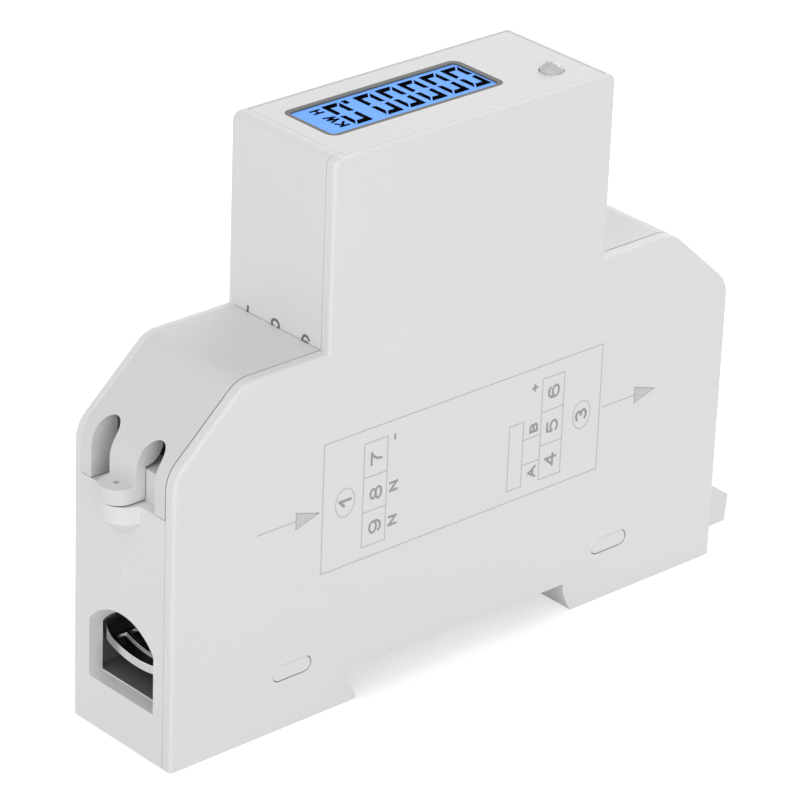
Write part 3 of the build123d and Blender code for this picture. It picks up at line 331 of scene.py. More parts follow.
@dataclass(frozen=True)
class Finish:
    """Base of the finishes: a named material with a principled shader."""

    name: str
    colour: str
    roughness: float

    def start(self) -> tuple[bpy.types.Material, bpy.types.NodeTree, bpy.types.Node, Socket]:
        """Makes an empty material.

        Returns:
            The material, its tree, its shader and the Object coordinates.
        """
        material = bpy.data.materials.new(self.name)
        material.use_nodes = True
        tree = material.node_tree
        tree.nodes.clear()
        shader = add_node(tree, "ShaderNodeBsdfPrincipled", {"Roughness": self.roughness})
        add_node(tree, "ShaderNodeOutputMaterial", {"Surface": shader.outputs[0]})
        place = add_node(tree, "ShaderNodeTexCoord", {}).outputs["Object"]
        return material, tree, shader, place

    def noise(
        self, tree: bpy.types.NodeTree, place: Socket, grain_mm: float, detail: float = 2.0
    ) -> Socket:
        """Adds noise whose lumps have a real size in millimetres."""
        return add_node(
            tree,
            "ShaderNodeTexNoise",
            {"Vector": place, "Scale": 1.0 / (grain_mm * MM), "Detail": detail},
        ).outputs["Fac"]

    def spread(self, tree: bpy.types.NodeTree, factor: Socket, low: float, high: float) -> Socket:
        """Turns a factor from nought to one into a range."""
        return add_node(
            tree, "ShaderNodeMapRange", {"Value": factor, "To Min": low, "To Max": high}
        ).outputs["Result"]

    def tint(self, tree: bpy.types.NodeTree, factor: Socket, low: Sequence, high: Sequence) -> Socket:
        """Mixes two colours by a factor."""
        mix = add_node(tree, "ShaderNodeMix", {"Factor": factor}, data_type="RGBA")
        for socket, value in zip([s for s in mix.inputs if s.type == "RGBA"], (low, high)):
            if isinstance(value, bpy.types.NodeSocket):
                tree.links.new(value, socket)
            else:
                socket.default_value = value
        return [s for s in mix.outputs if s.type == "RGBA"][0]

    def edges(self, tree: bpy.types.NodeTree, radius_mm: float) -> Socket:
        """Finds edges: nought on a flat face, one where the rounded normal leaves the plain one."""
        rounded = add_node(tree, "ShaderNodeBevel", {"Radius": radius_mm * MM}, samples=4)
        plain = add_node(tree, "ShaderNodeNewGeometry", {}).outputs["Normal"]
        cosine = add_node(
            tree, "ShaderNodeVectorMath", {0: rounded.outputs[0], 1: plain}, operation="DOT_PRODUCT"
        ).outputs["Value"]
        return add_node(
            tree,
            "ShaderNodeMapRange",
            {"Value": cosine, "From Min": 0.995, "From Max": 0.8, "To Min": 0.0, "To Max": 1.0},
        ).outputs["Result"]

    def depth(self, tree: bpy.types.NodeTree, reach_mm: float) -> Socket:
        """Finds recesses for painted shade: nought deep in a narrow hollow, one on an open face."""
        open_sky = add_node(
            tree, "ShaderNodeAmbientOcclusion", {"Distance": reach_mm * MM}, samples=6
        ).outputs["AO"]
        return add_node(
            tree, "ShaderNodeMapRange", {"Value": open_sky, "From Min": 0.02, "From Max": 0.20}
        ).outputs["Result"]

    def bump(self, tree: bpy.types.NodeTree, height: Socket, depth_mm: float) -> Socket:
        """Turns a height into a normal, for a real depth in millimetres."""
        return add_node(
            tree, "ShaderNodeBump", {"Height": height, "Distance": depth_mm * MM, "Strength": 1.0}
        ).outputs["Normal"]


@dataclass(frozen=True)
class MouldedPlastic(Finish):
    """Injection-moulded plastic from a spark-eroded mould.

    The eye sees a soft, slightly grainy sheen and a hint of flow marks.
    Edges are lighter, a painted highlight. Deep in a hollow the colour is
    painted darker, a painted shade.
    """

    grain_mm: float = 0.16
    grain_depth_mm: float = 0.004
    flow_mm: float = 22.0
    variation: float = 0.025
    edge_highlight: float = 0.05
    edge_mm: float = 0.25
    recess_shade: Optional[str] = None
    recess_shade_reach_mm: float = 9.0

    def build(self) -> bpy.types.Material:
        """Returns the material."""
        material, tree, shader, place = self.start()
        base = np.array(linear(self.colour))
        darker = tuple((base * (1 - self.variation)).tolist()[:3]) + (1.0,)
        paler = tuple(np.minimum(1.0, base * (1 + self.edge_highlight)).tolist()[:3]) + (1.0,)
        flow = self.noise(tree, place, self.flow_mm, 3.0)
        fine = self.noise(tree, place, self.grain_mm, 2.0)
        body = self.tint(tree, flow, darker, tuple(base.tolist()))
        # Painted highlight: edges are made paler, as where light catches them.
        edge = self.edges(tree, self.edge_mm)
        colour = self.tint(tree, edge, body, paler)
        # Painted shade: deep hollows get a darker colour, where shade falls.
        if self.recess_shade:
            colour = self.tint(tree, self.depth(tree, self.recess_shade_reach_mm), linear(self.recess_shade), colour)
        tree.links.new(colour, shader.inputs["Base Color"])
        rough = self.spread(tree, fine, self.roughness - 0.05, self.roughness + 0.07)
        tree.links.new(rough, shader.inputs["Roughness"])
        tree.links.new(self.bump(tree, fine, self.grain_depth_mm), shader.inputs["Normal"])
        shader.inputs["IOR"].default_value = 1.58
        shader.inputs["Specular IOR Level"].default_value = 0.42
        return material


@dataclass(frozen=True)
class PrintInk(Finish):
    """Pad-printed ink: thin, matt and a little uneven where the pad lifted."""

    sheen: float = 0.3
    speckle_mm: float = 0.25
    fading: float = 0.2

    def build(self) -> bpy.types.Material:
        """Returns the material."""
        material, tree, shader, place = self.start()
        base = np.array(linear(self.colour))
        paler = tuple(np.minimum(1.0, base * (1 + self.fading)).tolist()[:3]) + (1.0,)
        speckle = self.noise(tree, place, self.speckle_mm, 4.0)
        tree.links.new(self.tint(tree, speckle, tuple(base.tolist()), paler), shader.inputs["Base Color"])
        rough = self.spread(tree, speckle, self.roughness - 0.08, self.roughness + 0.08)
        tree.links.new(rough, shader.inputs["Roughness"])
        shader.inputs["Specular IOR Level"].default_value = self.sheen
        return material


@dataclass(frozen=True)
class PlatedSteel(Finish):
    """Bent or turned steel with a bright plating.

    Rolling lines run along the sheet, and the edges take a paler colour:
    real wear on the tinned copper, a painted highlight on the other metals.
    """

    line_mm: float = 0.08
    line_depth_mm: float = 0.0012
    stain: float = 0.06
    stain_mm: float = 2.5
    edge_mm: float = 0.15
    stretch: float = 14.0
    along: tuple[float, float, float] = (1.0, 14.0, 14.0)
    edge_wear_and_highlight: str = "#F4F3F0"

    def build(self) -> bpy.types.Material:
        """Returns the material."""
        material, tree, shader, place = self.start()
        stretched = add_node(
            tree, "ShaderNodeMapping", {"Vector": place, "Scale": self.along}
        ).outputs["Vector"]
        lines = self.noise(tree, stretched, self.line_mm * self.stretch, 3.0)
        cloud = self.noise(tree, place, self.stain_mm, 3.0)
        base = np.array(linear(self.colour))
        dull = tuple((base * (1 - self.stain)).tolist()[:3]) + (1.0,)
        body = self.tint(tree, cloud, dull, tuple(base.tolist()))
        # Edges paler: worn tin on the copper bars, painted highlight on the other metals.
        edge = self.edges(tree, self.edge_mm)
        tree.links.new(self.tint(tree, edge, body, linear(self.edge_wear_and_highlight)), shader.inputs["Base Color"])
        rough = self.spread(tree, lines, self.roughness - 0.04, self.roughness + 0.06)
        tree.links.new(rough, shader.inputs["Roughness"])
        tree.links.new(self.bump(tree, lines, self.line_depth_mm), shader.inputs["Normal"])
        shader.inputs["Metallic"].default_value = 1.0
        return material


@dataclass(frozen=True)
class LitCell(Finish):
    """Liquid crystal cell over a blue light guide.

    The light is a little uneven, and a fine dot pattern of the diffuser
    shows in it.
    """

    glow: str = "#6FA7FF"
    glow_strength: float = 1.16
    dot_mm: float = 0.22
    cloud_mm: float = 9.0
    dimming: float = 0.10
    lift: float = 0.08

    def build(self) -> bpy.types.Material:
        """Returns the material."""
        material, tree, shader, place = self.start()
        cloud = self.noise(tree, place, self.cloud_mm, 2.0)
        dots = add_node(
            tree,
            "ShaderNodeTexVoronoi",
            {"Vector": place, "Scale": 1.0 / (self.dot_mm * MM), "Randomness": 0.25},
        ).outputs["Distance"]
        base = np.array(linear(self.glow))
        dim = tuple((base * (1 - self.dimming)).tolist()[:3]) + (1.0,)
        lit = tuple(np.minimum(1.0, base * (1 + self.lift)).tolist()[:3]) + (1.0,)
        light = self.tint(tree, cloud, dim, lit)
        speck = self.spread(tree, dots, 0.0, 0.10)
        tree.links.new(self.tint(tree, speck, light, dim), shader.inputs["Emission Color"])
        shader.inputs["Emission Strength"].default_value = self.glow_strength
        shader.inputs["Base Color"].default_value = linear(self.colour)
        shader.inputs["Specular IOR Level"].default_value = 0.05
        tree.links.new(self.spread(tree, dots, 0.3, 0.45), shader.inputs["Roughness"])
        return material


@dataclass(frozen=True)
class ClearPlastic(Finish):
    """Cast epoxy of a lamp: milky, so that only part of the light goes through."""

    ior: float = 1.54
    transmission: float = 0.4
    haze_mm: float = 0.6

    def build(self) -> bpy.types.Material:
        """Returns the material."""
        material, tree, shader, place = self.start()
        haze = self.noise(tree, place, self.haze_mm, 2.0)
        rough = self.spread(tree, haze, self.roughness, self.roughness + 0.04)
        tree.links.new(rough, shader.inputs["Roughness"])
        base = np.array(linear(self.colour))
        paler = tuple(np.minimum(1.0, base * 1.02).tolist()[:3]) + (1.0,)
        tree.links.new(self.tint(tree, haze, tuple(base.tolist()), paler), shader.inputs["Base Color"])
        shader.inputs["IOR"].default_value = self.ior
        shader.inputs["Transmission Weight"].default_value = self.transmission
        return material


@dataclass(frozen=True)
class ClearFilm(Finish):
    """Thin clear film: light goes straight through, and only a trace stays.

    A coating takes its reflection away, and a faint haze dulls it unevenly.
    """

    trace: Point = (0.01, 0.03)
    sheen: float = 0.1
    haze_mm: float = 3.0

    def build(self) -> bpy.types.Material:
        """Returns the material."""
        material, tree, shader, place = self.start()
        haze = self.noise(tree, place, self.haze_mm, 2.0)
        tree.links.new(self.spread(tree, haze, *self.trace), shader.inputs["Alpha"])
        tree.links.new(
            self.spread(tree, haze, self.roughness, self.roughness * 2), shader.inputs["Roughness"]
        )
        shader.inputs["Base Color"].default_value = linear(self.colour)
        shader.inputs["Specular IOR Level"].default_value = self.sheen
        return material


@dataclass(frozen=True)
class MaskedLaminate(Finish):
    """Glass-cloth circuit board under green solder mask.

    Copper tracks show through the mask as paler bands, and the weave of the
    glass cloth gives the surface a fine square ripple.
    """

    track: str = "#2E7D45"
    track_mm: float = 2.4
    weave_mm: float = 0.45

    def build(self) -> bpy.types.Material:
        """Returns the material."""
        material, tree, shader, place = self.start()
        weave = add_node(
            tree,
            "ShaderNodeTexVoronoi",
            {"Vector": place, "Scale": 1.0 / (self.weave_mm * MM), "Randomness": 0.1},
            distance="CHEBYCHEV",
        ).outputs["Distance"]
        tracks = add_node(
            tree,
            "ShaderNodeTexVoronoi",
            {"Vector": place, "Scale": 1.0 / (self.track_mm * MM), "Randomness": 0.8},
            distance="MANHATTAN",
            feature="DISTANCE_TO_EDGE",
        ).outputs["Distance"]
        band = add_node(
            tree, "ShaderNodeMapRange", {"Value": tracks, "From Min": 0.10, "From Max": 0.13}
        ).outputs["Result"]
        colour = self.tint(tree, band, linear(self.track), linear(self.colour))
        tree.links.new(colour, shader.inputs["Base Color"])
        tree.links.new(self.spread(tree, weave, 0.25, 0.4), shader.inputs["Roughness"])
        tree.links.new(self.bump(tree, weave, 0.01), shader.inputs["Normal"])
        return material


@dataclass(frozen=True)
class Palette:
    """The finishes of the meter, one for each material it is made of."""

    # Polycarbonate blend, moulded: pale neutral grey with a soft satin sheen, and painted shade in its deep
    # hollows.
    case: MouldedPlastic = MouldedPlastic("moulded_polycarbonate", "#EBEBEB", 0.46, recess_shade="#989898")
    # The same plastic from another mould, a touch smoother, with painted shade in its deep hollows.
    cover: MouldedPlastic = MouldedPlastic("cover_polycarbonate", "#E3E3E3", 0.42, recess_shade="#989898")
    # Painted shade: a dark grey, dull sheet laid in the wire chambers, which stand in shade.
    chamber_shade: MouldedPlastic = MouldedPlastic("chamber_shade_film", "#666667", 0.6)
    # Nylon, moulded: a little warmer and waxier.
    clip: MouldedPlastic = MouldedPlastic("clip_nylon", "#E7E7E5", 0.38)
    # Filled nylon of the terminal blocks.
    terminal: MouldedPlastic = MouldedPlastic("terminal_nylon", "#C6C8C8", 0.44)
    # Dark lacquered frame of the display, with a stronger painted highlight on its edges.
    bezel: MouldedPlastic = MouldedPlastic("bezel_lacquer", "#6B6B66", 0.5, edge_highlight=0.15, edge_mm=0.1)
    # Epoxy resin of moulded chips: black and matt.
    resin: MouldedPlastic = MouldedPlastic("black_chip_resin", "#1B1B1C", 0.55)
    # Shrunk sleeve of an electrolytic capacitor: dark and glossy.
    sleeve: MouldedPlastic = MouldedPlastic("capacitor_sleeve", "#20263A", 0.3)
    # Cast case of a film capacitor: ochre, smooth.
    film: MouldedPlastic = MouldedPlastic("film_capacitor_case", "#D9AE35", 0.35)
    # Dipped coating of a varistor: blue, waxy.
    coating: MouldedPlastic = MouldedPlastic("varistor_coating", "#2B5FA3", 0.3)
    # Pad-printing ink, mid grey: a thin film on the lines, a fuller one on the characters.
    fine_ink: PrintInk = PrintInk("fine_print_ink", "#B9B9B8", 0.6)
    ink: PrintInk = PrintInk("print_ink", "#9D9D9C", 0.6)
    tower_ink: PrintInk = PrintInk("tower_print_ink", "#757574", 0.6)
    # Dark fluid of the display's lit segments.
    segments: PrintInk = PrintInk("segment_ink", "#060608", 0.5, sheen=0.0)
    # Nickel on pressed steel: bright, with faint rolling lines and a near-white painted highlight on its
    # edges.
    cage: PlatedSteel = PlatedSteel("nickel_plated_steel", "#BEBEBD", 0.2, edge_wear_and_highlight="#FBFBFA")
    # Zinc on turned steel: paler and duller, with fine lines along the axis.
    screw: PlatedSteel = PlatedSteel(
        "zinc_plated_steel", "#B4B5B3", 0.30, line_depth_mm=0.003, stain=0.15, along=(14.0, 14.0, 1.0)
    )
    # Drawn can of the crystal.
    can: PlatedSteel = PlatedSteel("drawn_crystal_can", "#C6C6C4", 0.2)
    # Tinned copper bars: warm where the tin is thin.
    tinned: PlatedSteel = PlatedSteel("tinned_copper", "#C9BBA8", 0.3, stain=0.18, edge_wear_and_highlight="#D9A27E")
    # Resistance alloy: brownish, rolled.
    alloy: PlatedSteel = PlatedSteel("resistance_alloy", "#B28A6A", 0.36, stain=0.18, edge_wear_and_highlight="#D8B092")
    # Liquid crystal cell over a blue light guide.
    cell: LitCell = LitCell("lit_display_cell", "#0E1C4A", 0.4)
    # Clear acrylic of the light guide.
    guide: MouldedPlastic = MouldedPlastic("light_guide_acrylic", "#DCE6F5", 0.25)
    # Hard-coated polyester film over the display: nearly unseen.
    pane: ClearFilm = ClearFilm("display_film", "#10131A", 0.06)
    # Diffusing epoxy of the lamp: milky, with a soft highlight.
    lamp: ClearPlastic = ClearPlastic("lamp_epoxy", "#F2F2F1", 0.09)
    # Glass-cloth board under green mask.
    laminate: MaskedLaminate = MaskedLaminate("masked_glass_laminate", "#14502A", 0.3)


@dataclass
class Workshop:
    """Makes pieces and materials, and keeps each material once."""

    datum: Datum
    made: dict

    def material(self, finish: Finish) -> bpy.types.Material:
        """Returns the finish's material, made on first use."""
        if finish.name not in self.made:
            self.made[finish.name] = finish.build()
        return self.made[finish.name]

    def dress(self, frame: dict, node: str, finish: Finish) -> None:
        """Puts a finish on a node of the solid model."""
        mesh = frame["nodes"][node].data
        mesh.materials.clear()
        mesh.materials.append(self.material(finish))

    def piece(
        self, name: str, solid: Solid, finish: Finish, body: str, smooth: bool = False
    ) -> bpy.types.Object:
        """Makes an object from a solid and lets it ride on a body.

        Args:
            name: The object's name.
            solid: Its points and faces, in millimetres from the corner.
            finish: What it is made of.
            body: The body that it moves with.
            smooth: Whether its faces are shaded smooth.

        Returns:
            The finished object.
        """
        mesh = bpy.data.meshes.new(name)
        mesh.from_pydata(self.datum.place(solid.points).tolist(), [], solid.faces)
        work = bmesh.new()
        work.from_mesh(mesh)
        bmesh.ops.remove_doubles(work, verts=work.verts, dist=1e-7)
        bmesh.ops.recalc_face_normals(work, faces=work.faces)
        work.to_mesh(mesh)
        work.free()
        mesh.polygons.foreach_set("use_smooth", [smooth] * len(mesh.polygons))
        mesh.materials.append(self.material(finish))
        thing = bpy.data.objects.new(name, mesh)
        bpy.context.scene.collection.objects.link(thing)
        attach(thing, body)
        LOG.info("piece %s: %d faces on %s", name, len(mesh.polygons), body)
        return thing


@dataclass
class CaseShell:
    """The moulded parts of the case, the covers and the clip."""

    nodes: tuple = ("case_body", "near_side_plate", "far_side_plate", "front_plate")
    covers: tuple = ("terminal_cover_left", "terminal_cover_right")
    mark_y: float = 8.85
    mark_z: float = 21.9
    mark_size: Point = (0.5, 3.5)
    mark_height: float = 0.08

    def build(self, shop: Workshop, frame: dict, palette: Palette) -> None:
        """Dresses the case and adds a moulded terminal mark on the end face."""
        for node in self.nodes:
            shop.dress(frame, node, palette.case)
        for node in self.covers:
            shop.dress(frame, node, palette.cover)
        shop.dress(frame, "rail_clip", palette.clip)
        mark = swept(
            np.array([(0.0, -self.mark_size[1] / 2), (0.0, self.mark_size[1] / 2)]),
            self.mark_size[0] / 2,
            self.mark_height,
            closed=False,
        )
        placed = laid_on(mark, Side.END, (0.0, self.mark_y, self.mark_z))
        shop.piece("end_terminal_mark", placed, palette.case, CASE_BODY)


@dataclass
class ChamberShadeSheet:
    """Painted shade: a dark sheet laid in the two wire chambers.

    Each is a tray: one section of floor and two walls carried along the
    chamber, and a back made of four plates round the gap for the bar.
    """

    front: float = 2.03
    back: float = 12.68
    floor: float = 6.5
    top: float = 26.0
    middle: float = 9.175
    half_width: float = 7.02
    sheet: float = 0.1
    bar_half: float = 3.1
    bar_low: float = 17.4
    bar_high: float = 19.2

    def plate(self, low: Point, high: Point) -> Solid:
        """Returns a plate of the back between two corners of y and z."""
        corners = np.array([low, (high[0], low[1]), high, (low[0], high[1])])
        rings = [
            np.concatenate([np.full((4, 1), x), corners], axis=1)
            for x in (self.back - self.sheet, self.back)
        ]
        return grid_solid(np.stack(rings), closed=False)

    def tray(self) -> Solid:
        """Returns floor, walls and back about the chamber's middle."""
        outer, inner = self.half_width, self.half_width - self.sheet
        base = self.floor + self.sheet
        section = np.array(
            [
                (-outer, self.top),
                (-outer, self.floor),
                (outer, self.floor),
                (outer, self.top),
                (inner, self.top),
                (inner, base),
                (-inner, base),
                (-inner, self.top),
            ]
        )
        rings = [
            np.concatenate([np.full((len(section), 1), x), section], axis=1)
            for x in (self.front, self.back)
        ]
        parts = [
            grid_solid(np.stack(rings), closed=False),
            self.plate((-inner, base), (inner, self.bar_low)),
            self.plate((-inner, self.bar_low), (-self.bar_half, self.bar_high)),
            self.plate((self.bar_half, self.bar_low), (inner, self.bar_high)),
            self.plate((-inner, self.bar_high), (inner, self.top)),
        ]
        return Solid.join(parts)

    def build(self, shop: Workshop, palette: Palette) -> None:
        """Lays the painted-shade sheet in both chambers, the right one mirrored."""
        low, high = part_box("near_side_plate")
        length = (high[0] - low[0]) / MM
        for end in ("left", "right"):
            tray = self.tray()
            tray.points[:, 1] += self.middle
            if end == "right":
                tray.points[:, 0] = length - tray.points[:, 0]
            shop.piece(f"chamber_shade_sheet_{end}", tray, palette.chamber_shade, CASE_BODY)


@dataclass
class ConnectionPrint:
    """The wiring diagram that is printed on the near side plate."""

    line: float = 0.12
    thickness: float = 0.02
    character_band: float = 0.3
    ring_band: float = 0.35
    frame: tuple = (22.12, 66.33, 18.68, 35.5)
    tables: tuple = ((28.32, 31.93, 20.17, 33.69), (56.57, 60.14, 20.17, 33.65))
    dividers: tuple = (24.7, 29.2)
    side_box: tuple = (51.42, 53.7, 20.2, 28.83)
    connectors: tuple = (26.33, 22.98)
    rings: tuple = ((25.55, 27.0), (63.32, 26.95))
    ring_radii: Point = (1.45, 1.85)
    arrow_rows: tuple = ((12.25, 18.1, 21.55, 26.95), (66.85, 72.25, 75.6, 26.85))
    arrow_half: float = 1.05
    arrow_line: float = 0.1
    stripe: float = 0.11
    stripe_span: float = 0.92
    stripes: int = 9
    cell_digits: tuple = (
        ("9", 30.29, 22.4),
        ("8", 30.29, 26.8),
        ("7", 30.29, 31.45),
        ("4", 58.44, 22.35),
        ("5", 58.44, 26.85),
        ("6", 58.44, 31.55),
    )
    cell_digit_size: Point = (1.75, 1.95)
    ring_digits: tuple = (("1", 25.55, 26.95, 1.0), ("3", 63.24, 26.9, 1.6))
    letters: tuple = (
        ("N", 33.02, 26.85, 1.35, 1.35),
        ("N", 33.02, 22.35, 1.35, 1.35),
        ("A", 55.39, 21.6, 1.6, 1.35),
        ("B", 55.39, 27.55, 1.25, 1.35),
        ("+", 55.29, 32.9, 0.95, 0.95),
        ("-", 33.0, 33.3, 0.75, 0.22),
    )

    def rectangle(self, box: tuple) -> Solid:
        """Returns a printed outline from low and high x and z."""
        x0, x1, z0, z1 = box
        return self.band([(x0, z0), (x1, z0), (x1, z1), (x0, z1)], closed=True)

    def band(self, path: Sequence[Point], closed: bool = False, width: Optional[float] = None) -> Solid:
        """Returns a printed line along points of x and z on the plate."""
        flat = swept(np.array(path, dtype=float), (width or self.line) / 2, self.thickness, closed)
        points = flat.points[:, [0, 2, 1]] * np.array([1, -1, 1])
        return Solid(points, flat.faces)

    def arrow(self, start: float, base: float, tip: float, z: float) -> list:
        """Returns an arrow whose head is a fan of level stripes."""
        parts = [self.band([(start, z), (base, z)])]
        for offset in np.linspace(-1, 1, self.stripes) * self.arrow_half * self.stripe_span:
            end = base + (tip - base) * (1 - abs(offset) / self.arrow_half)
            parts.append(self.band([(base, z + offset), (end, z + offset)], width=self.stripe))
        head = [(base, z - self.arrow_half), (tip, z), (base, z + self.arrow_half)]
        parts.append(self.band(head, closed=True, width=self.arrow_line))
        return parts

    def build(self, shop: Workshop, palette: Palette) -> None:
        """Makes the line work and the characters as thin ink."""
        parts = [self.rectangle(self.frame), self.rectangle(self.side_box)]
        for box in self.tables:
            parts.append(self.rectangle(box))
            parts += [self.band([(box[0], z), (box[1], z)]) for z in self.dividers]
        for z in self.connectors:
            parts.append(self.band([(self.side_box[1], z), (self.tables[1][0], z)]))
        for centre in self.rings:
            parts.append(self.band(ellipse(centre, self.ring_radii), closed=True))
        for row in self.arrow_rows:
            parts += self.arrow(*row)
        shop.piece(
            "connection_print_lines", Solid.join(parts), palette.fine_ink, CASE_BODY
        )
        pen = Pen(self.character_band, self.thickness)
        ring_pen = Pen(self.ring_band, self.thickness)
        marks = [(pen.write(text, self.cell_digit_size), x, z) for text, x, z in self.cell_digits]
        marks += [
            (ring_pen.write(text, (width, self.cell_digit_size[1])), x, z)
            for text, x, z, width in self.ring_digits
        ]
        marks += [(pen.write(text, (width, height)), x, z) for text, x, z, width, height in self.letters]
        characters = [laid_on(shape, Side.NEAR, (x, 0.0, z)) for shape, x, z in marks]
        shop.piece(
            "connection_print_numbers", Solid.join(characters), palette.ink, CASE_BODY
        )


@dataclass
class TerminalNumbers:
    """Numbers of the small terminals, printed low on the tower's end walls.

    They read from the far side, and the covers hide their upper parts.
    """

    y_places: tuple = (14.55, 9.45, 4.1)
    z: float = 46.7
    size: Point = (1.6, 2.4)
    band: float = 0.34
    thickness: float = 0.02
    cover_gap: float = 0.1

    def build(self, shop: Workshop, palette: Palette) -> None:
        """Prints the numbers on the tower's left wall, just inside the cover's end."""
        _, cover_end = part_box("terminal_cover_left")
        wall_x = (cover_end[0] - shop.datum.corner[0]) / MM + self.cover_gap
        pen = Pen(self.band, self.thickness)
        parts = [
            laid_on(pen.write(text, self.size), Side.TOWER_END, (wall_x, y, self.z))
            for text, y in zip("789", self.y_places)
        ]
        numbers = Solid.join(parts)
        shop.piece("tower_terminal_numbers", numbers, palette.tower_ink, CASE_BODY)


@dataclass
class DisplayGroup:
    """Cell, digits, unit, pane, bezel and lamp on top of the tower."""

    unit_x: float = 30.27
    unit_places: tuple = (("K", 7.9, 1.25), ("W", 9.68, 1.75), ("H", 12.3, 1.15))
    unit_height: float = 1.5
    unit_band: float = 0.33
    unit_thickness: float = 0.03

    def build(self, shop: Workshop, frame: dict, palette: Palette) -> None:
        """Dresses the display and adds its unit."""
        shop.dress(frame, "lcd_glass", palette.cell)
        shop.dress(frame, "lcd_segments", palette.segments)
        shop.dress(frame, "backlight_panel", palette.guide)
        shop.dress(frame, "display_window", palette.pane)
        shop.dress(frame, "display_bezel", palette.bezel)
        shop.dress(frame, "pulse_lamp", palette.lamp)
        _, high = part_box("lcd_glass")
        top = high[2] / MM
        pen = Pen(self.unit_band, self.unit_thickness)
        parts = [
            laid_on(pen.write(text, (width, self.unit_height)), Side.TOP, (self.unit_x, y, top))
            for text, y, width in self.unit_places
        ]
        shop.piece("display_unit", Solid.join(parts), palette.segments, CASE_BODY)


@dataclass
class WorkingParts:
    """Terminals, bars, boards and the parts inside the case."""

    boards: tuple = ("main_board", "display_board", "terminal_board_left", "terminal_board_right")
    chips: tuple = ("metering_chip", "control_chip", "opto_couplers", "board_header")
    numbers: tuple = (4, 5, 6, 7, 8, 9)

    def build(self, shop: Workshop, frame: dict, palette: Palette) -> None:
        """Dresses the metal and the electronics."""
        for end in ("left", "right"):
            shop.dress(frame, f"clamp_cage_{end}", palette.cage)
            shop.dress(frame, f"clamp_screw_{end}", palette.screw)
            shop.dress(frame, f"current_bar_{end}", palette.tinned)
            shop.dress(frame, f"signal_block_{end}", palette.terminal)
            shop.dress(frame, f"signal_contacts_{end}", palette.tinned)
        for number in self.numbers:
            shop.dress(frame, f"signal_cage_{number}", palette.cage)
            shop.dress(frame, f"signal_screw_{number}", palette.screw)
        for node in self.boards:
            shop.dress(frame, node, palette.laminate)
        for node in self.chips:
            shop.dress(frame, node, palette.resin)
        shop.dress(frame, "current_shunt", palette.alloy)
        shop.dress(frame, "supply_capacitor", palette.sleeve)
        shop.dress(frame, "film_capacitor", palette.film)
        shop.dress(frame, "varistor", palette.coating)
        shop.dress(frame, "quartz_crystal", palette.can)


@dataclass
class Lamp:
    """One soft box of the studio."""

    name: str
    towards: tuple[float, float, float]
    distance_m: float
    size_m: float
    power: float
    aim_height_mm: float = 35.0

    def build(self) -> None:
        """Makes the area light, aimed at the middle of the meter."""
        light = bpy.data.lights.new(self.name, type="AREA")
        light.energy = self.power
        light.size = self.size_m
        holder = bpy.data.objects.new(self.name, light)
        direction = Vector(self.towards).normalized()
        holder.matrix_world = Matrix.Translation(
            direction * self.distance_m + Vector((0, 0, self.aim_height_mm * MM))
        ) @ direction.to_track_quat("Z", "Y").to_matrix().to_4x4()
        bpy.context.scene.collection.objects.link(holder)


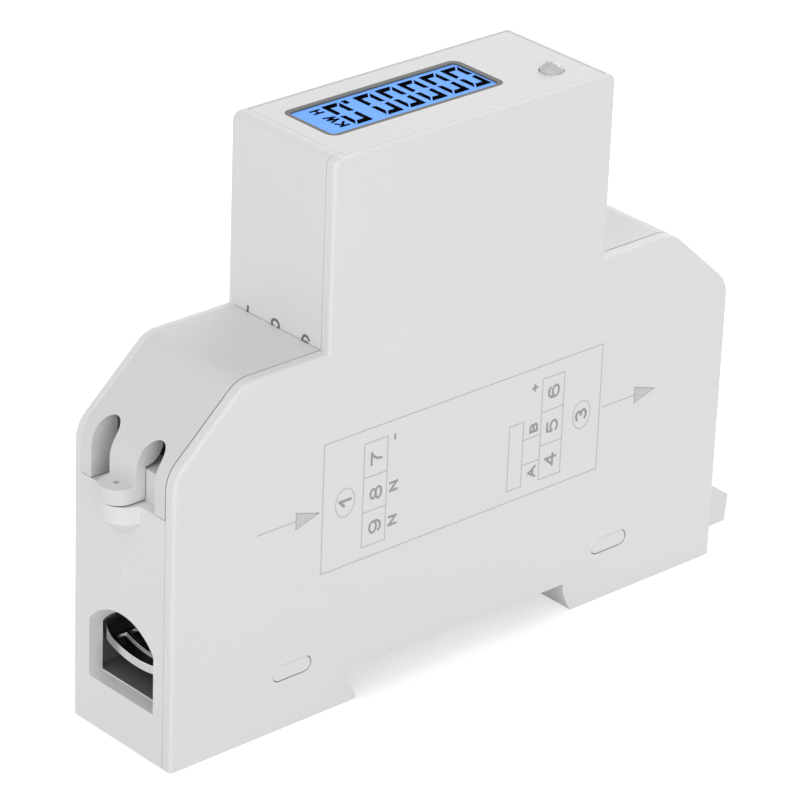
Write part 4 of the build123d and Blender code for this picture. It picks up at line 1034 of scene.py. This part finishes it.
@dataclass
class Studio:
    """Camera, pale floor, world and soft boxes.

    The camera's place and directions are in the part's own frame.
    """

    camera_mm: tuple = (-329.54, -355.04, 269.40)
    right: tuple = (0.747005, -0.663877, 0.035375)
    forward: tuple = (0.607568, 0.660108, -0.441723)
    focal_px: float = 4537.99
    sensor_mm: float = 36.0
    floor_half_m: float = 6.0
    floor_tone: float = 0.86
    floor_glow: float = 0.46
    fibre_mm: float = 2.5
    world_level: float = 0.53
    lamps: tuple = (
        Lamp("front_box", (-0.5, -1.0, 0.3), 1.2, 0.9, 4.3),
        Lamp("back_box", (1.0, 0.3, 0.6), 1.2, 0.9, 5.3),
        Lamp("left_box", (-1.0, -0.2, 0.9), 1.2, 0.9, 2.5),
    )

    def build_camera(self) -> None:
        """Places the camera where the photograph was taken from."""
        data = bpy.data.cameras.new("photo_camera")
        data.sensor_width = self.sensor_mm
        data.lens = self.focal_px * self.sensor_mm / IMAGE_SIDE
        data.clip_end = 50.0
        right = Vector(self.right).normalized()
        back = -Vector(self.forward).normalized()
        up = back.cross(right).normalized()
        turn = Matrix((right, up, back)).transposed().to_4x4()
        holder = bpy.data.objects.new("photo_camera", data)
        holder.matrix_world = Matrix.Translation(Vector(self.camera_mm) * MM) @ turn
        bpy.context.scene.collection.objects.link(holder)
        bpy.context.scene.camera = holder

    def seen(self, tree: bpy.types.NodeTree) -> Socket:
        """Is one for the camera's rays and for what metal and glass show, else nought."""
        path = add_node(tree, "ShaderNodeLightPath", {})
        eye = path.outputs["Is Camera Ray"]
        for kind in ("Is Glossy Ray", "Is Transmission Ray"):
            eye = add_node(
                tree, "ShaderNodeMath", {0: eye, 1: path.outputs[kind]}, operation="MAXIMUM"
            ).outputs[0]
        return eye

    def build_floor(self) -> None:
        """Lays a white floor that the camera sees a little brighter than it is lit."""
        half = self.floor_half_m
        mesh = bpy.data.meshes.new("studio_floor")
        corners = [(-half, -half, 0), (half, -half, 0), (half, half, 0), (-half, half, 0)]
        mesh.from_pydata(corners, [], [(0, 1, 2, 3)])
        material = bpy.data.materials.new("studio_floor_paper")
        material.use_nodes = True
        tree = material.node_tree
        tree.nodes.clear()
        place = add_node(tree, "ShaderNodeTexCoord", {}).outputs["Object"]
        grain = {"Vector": place, "Scale": 1.0 / (self.fibre_mm * MM)}
        fibre = add_node(tree, "ShaderNodeTexNoise", grain).outputs["Fac"]
        rough = add_node(
            tree, "ShaderNodeMapRange", {"Value": fibre, "To Min": 0.85, "To Max": 0.95}
        ).outputs["Result"]
        tone = (self.floor_tone,) * 3 + (1.0,)
        paper = add_node(
            tree,
            "ShaderNodeBsdfPrincipled",
            {"Base Color": tone, "Roughness": rough, "Specular IOR Level": 0.1},
        )
        strength = add_node(
            tree, "ShaderNodeMath", {0: self.seen(tree), 1: self.floor_glow}, operation="MULTIPLY"
        ).outputs[0]
        glow = add_node(tree, "ShaderNodeEmission", {"Strength": strength})
        both = add_node(tree, "ShaderNodeAddShader", {0: paper.outputs[0], 1: glow.outputs[0]})
        add_node(tree, "ShaderNodeOutputMaterial", {"Surface": both.outputs[0]})
        mesh.materials.append(material)
        floor = bpy.data.objects.new("studio_floor", mesh)
        bpy.context.scene.collection.objects.link(floor)

    def build_world(self) -> None:
        """Makes a white world: full white for the eye, softer as a light."""
        world = bpy.data.worlds.new("studio_world")
        world.use_nodes = True
        tree = world.node_tree
        tree.nodes.clear()
        level = add_node(
            tree,
            "ShaderNodeMapRange",
            {"Value": self.seen(tree), "To Min": self.world_level, "To Max": 1.0},
        ).outputs["Result"]
        sky = add_node(tree, "ShaderNodeBackground", {"Strength": level})
        sky.inputs["Color"].default_value = (1.0, 1.0, 1.0, 1.0)
        add_node(tree, "ShaderNodeOutputWorld", {"Surface": sky.outputs[0]})
        bpy.context.scene.world = world

    def build(self) -> None:
        """Builds the whole studio."""
        bpy.context.scene.view_settings.view_transform = "Standard"
        self.build_camera()
        self.build_floor()
        self.build_world()
        for lamp in self.lamps:
            lamp.build()
        LOG.info("studio with %d soft boxes", len(self.lamps))


def main() -> None:
    """Builds the looks of the meter, sub-assembly by sub-assembly."""
    logging.basicConfig(level=logging.INFO, format="%(name)s %(message)s")
    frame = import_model()
    datum = Datum.from_case()
    shop = Workshop(datum, {})
    palette = Palette()
    Studio().build()
    CaseShell().build(shop, frame, palette)
    ChamberShadeSheet().build(shop, palette)
    ConnectionPrint().build(shop, palette)
    TerminalNumbers().build(shop, palette)
    DisplayGroup().build(shop, frame, palette)
    WorkingParts().build(shop, frame, palette)


if __name__ == "__main__":
    main()
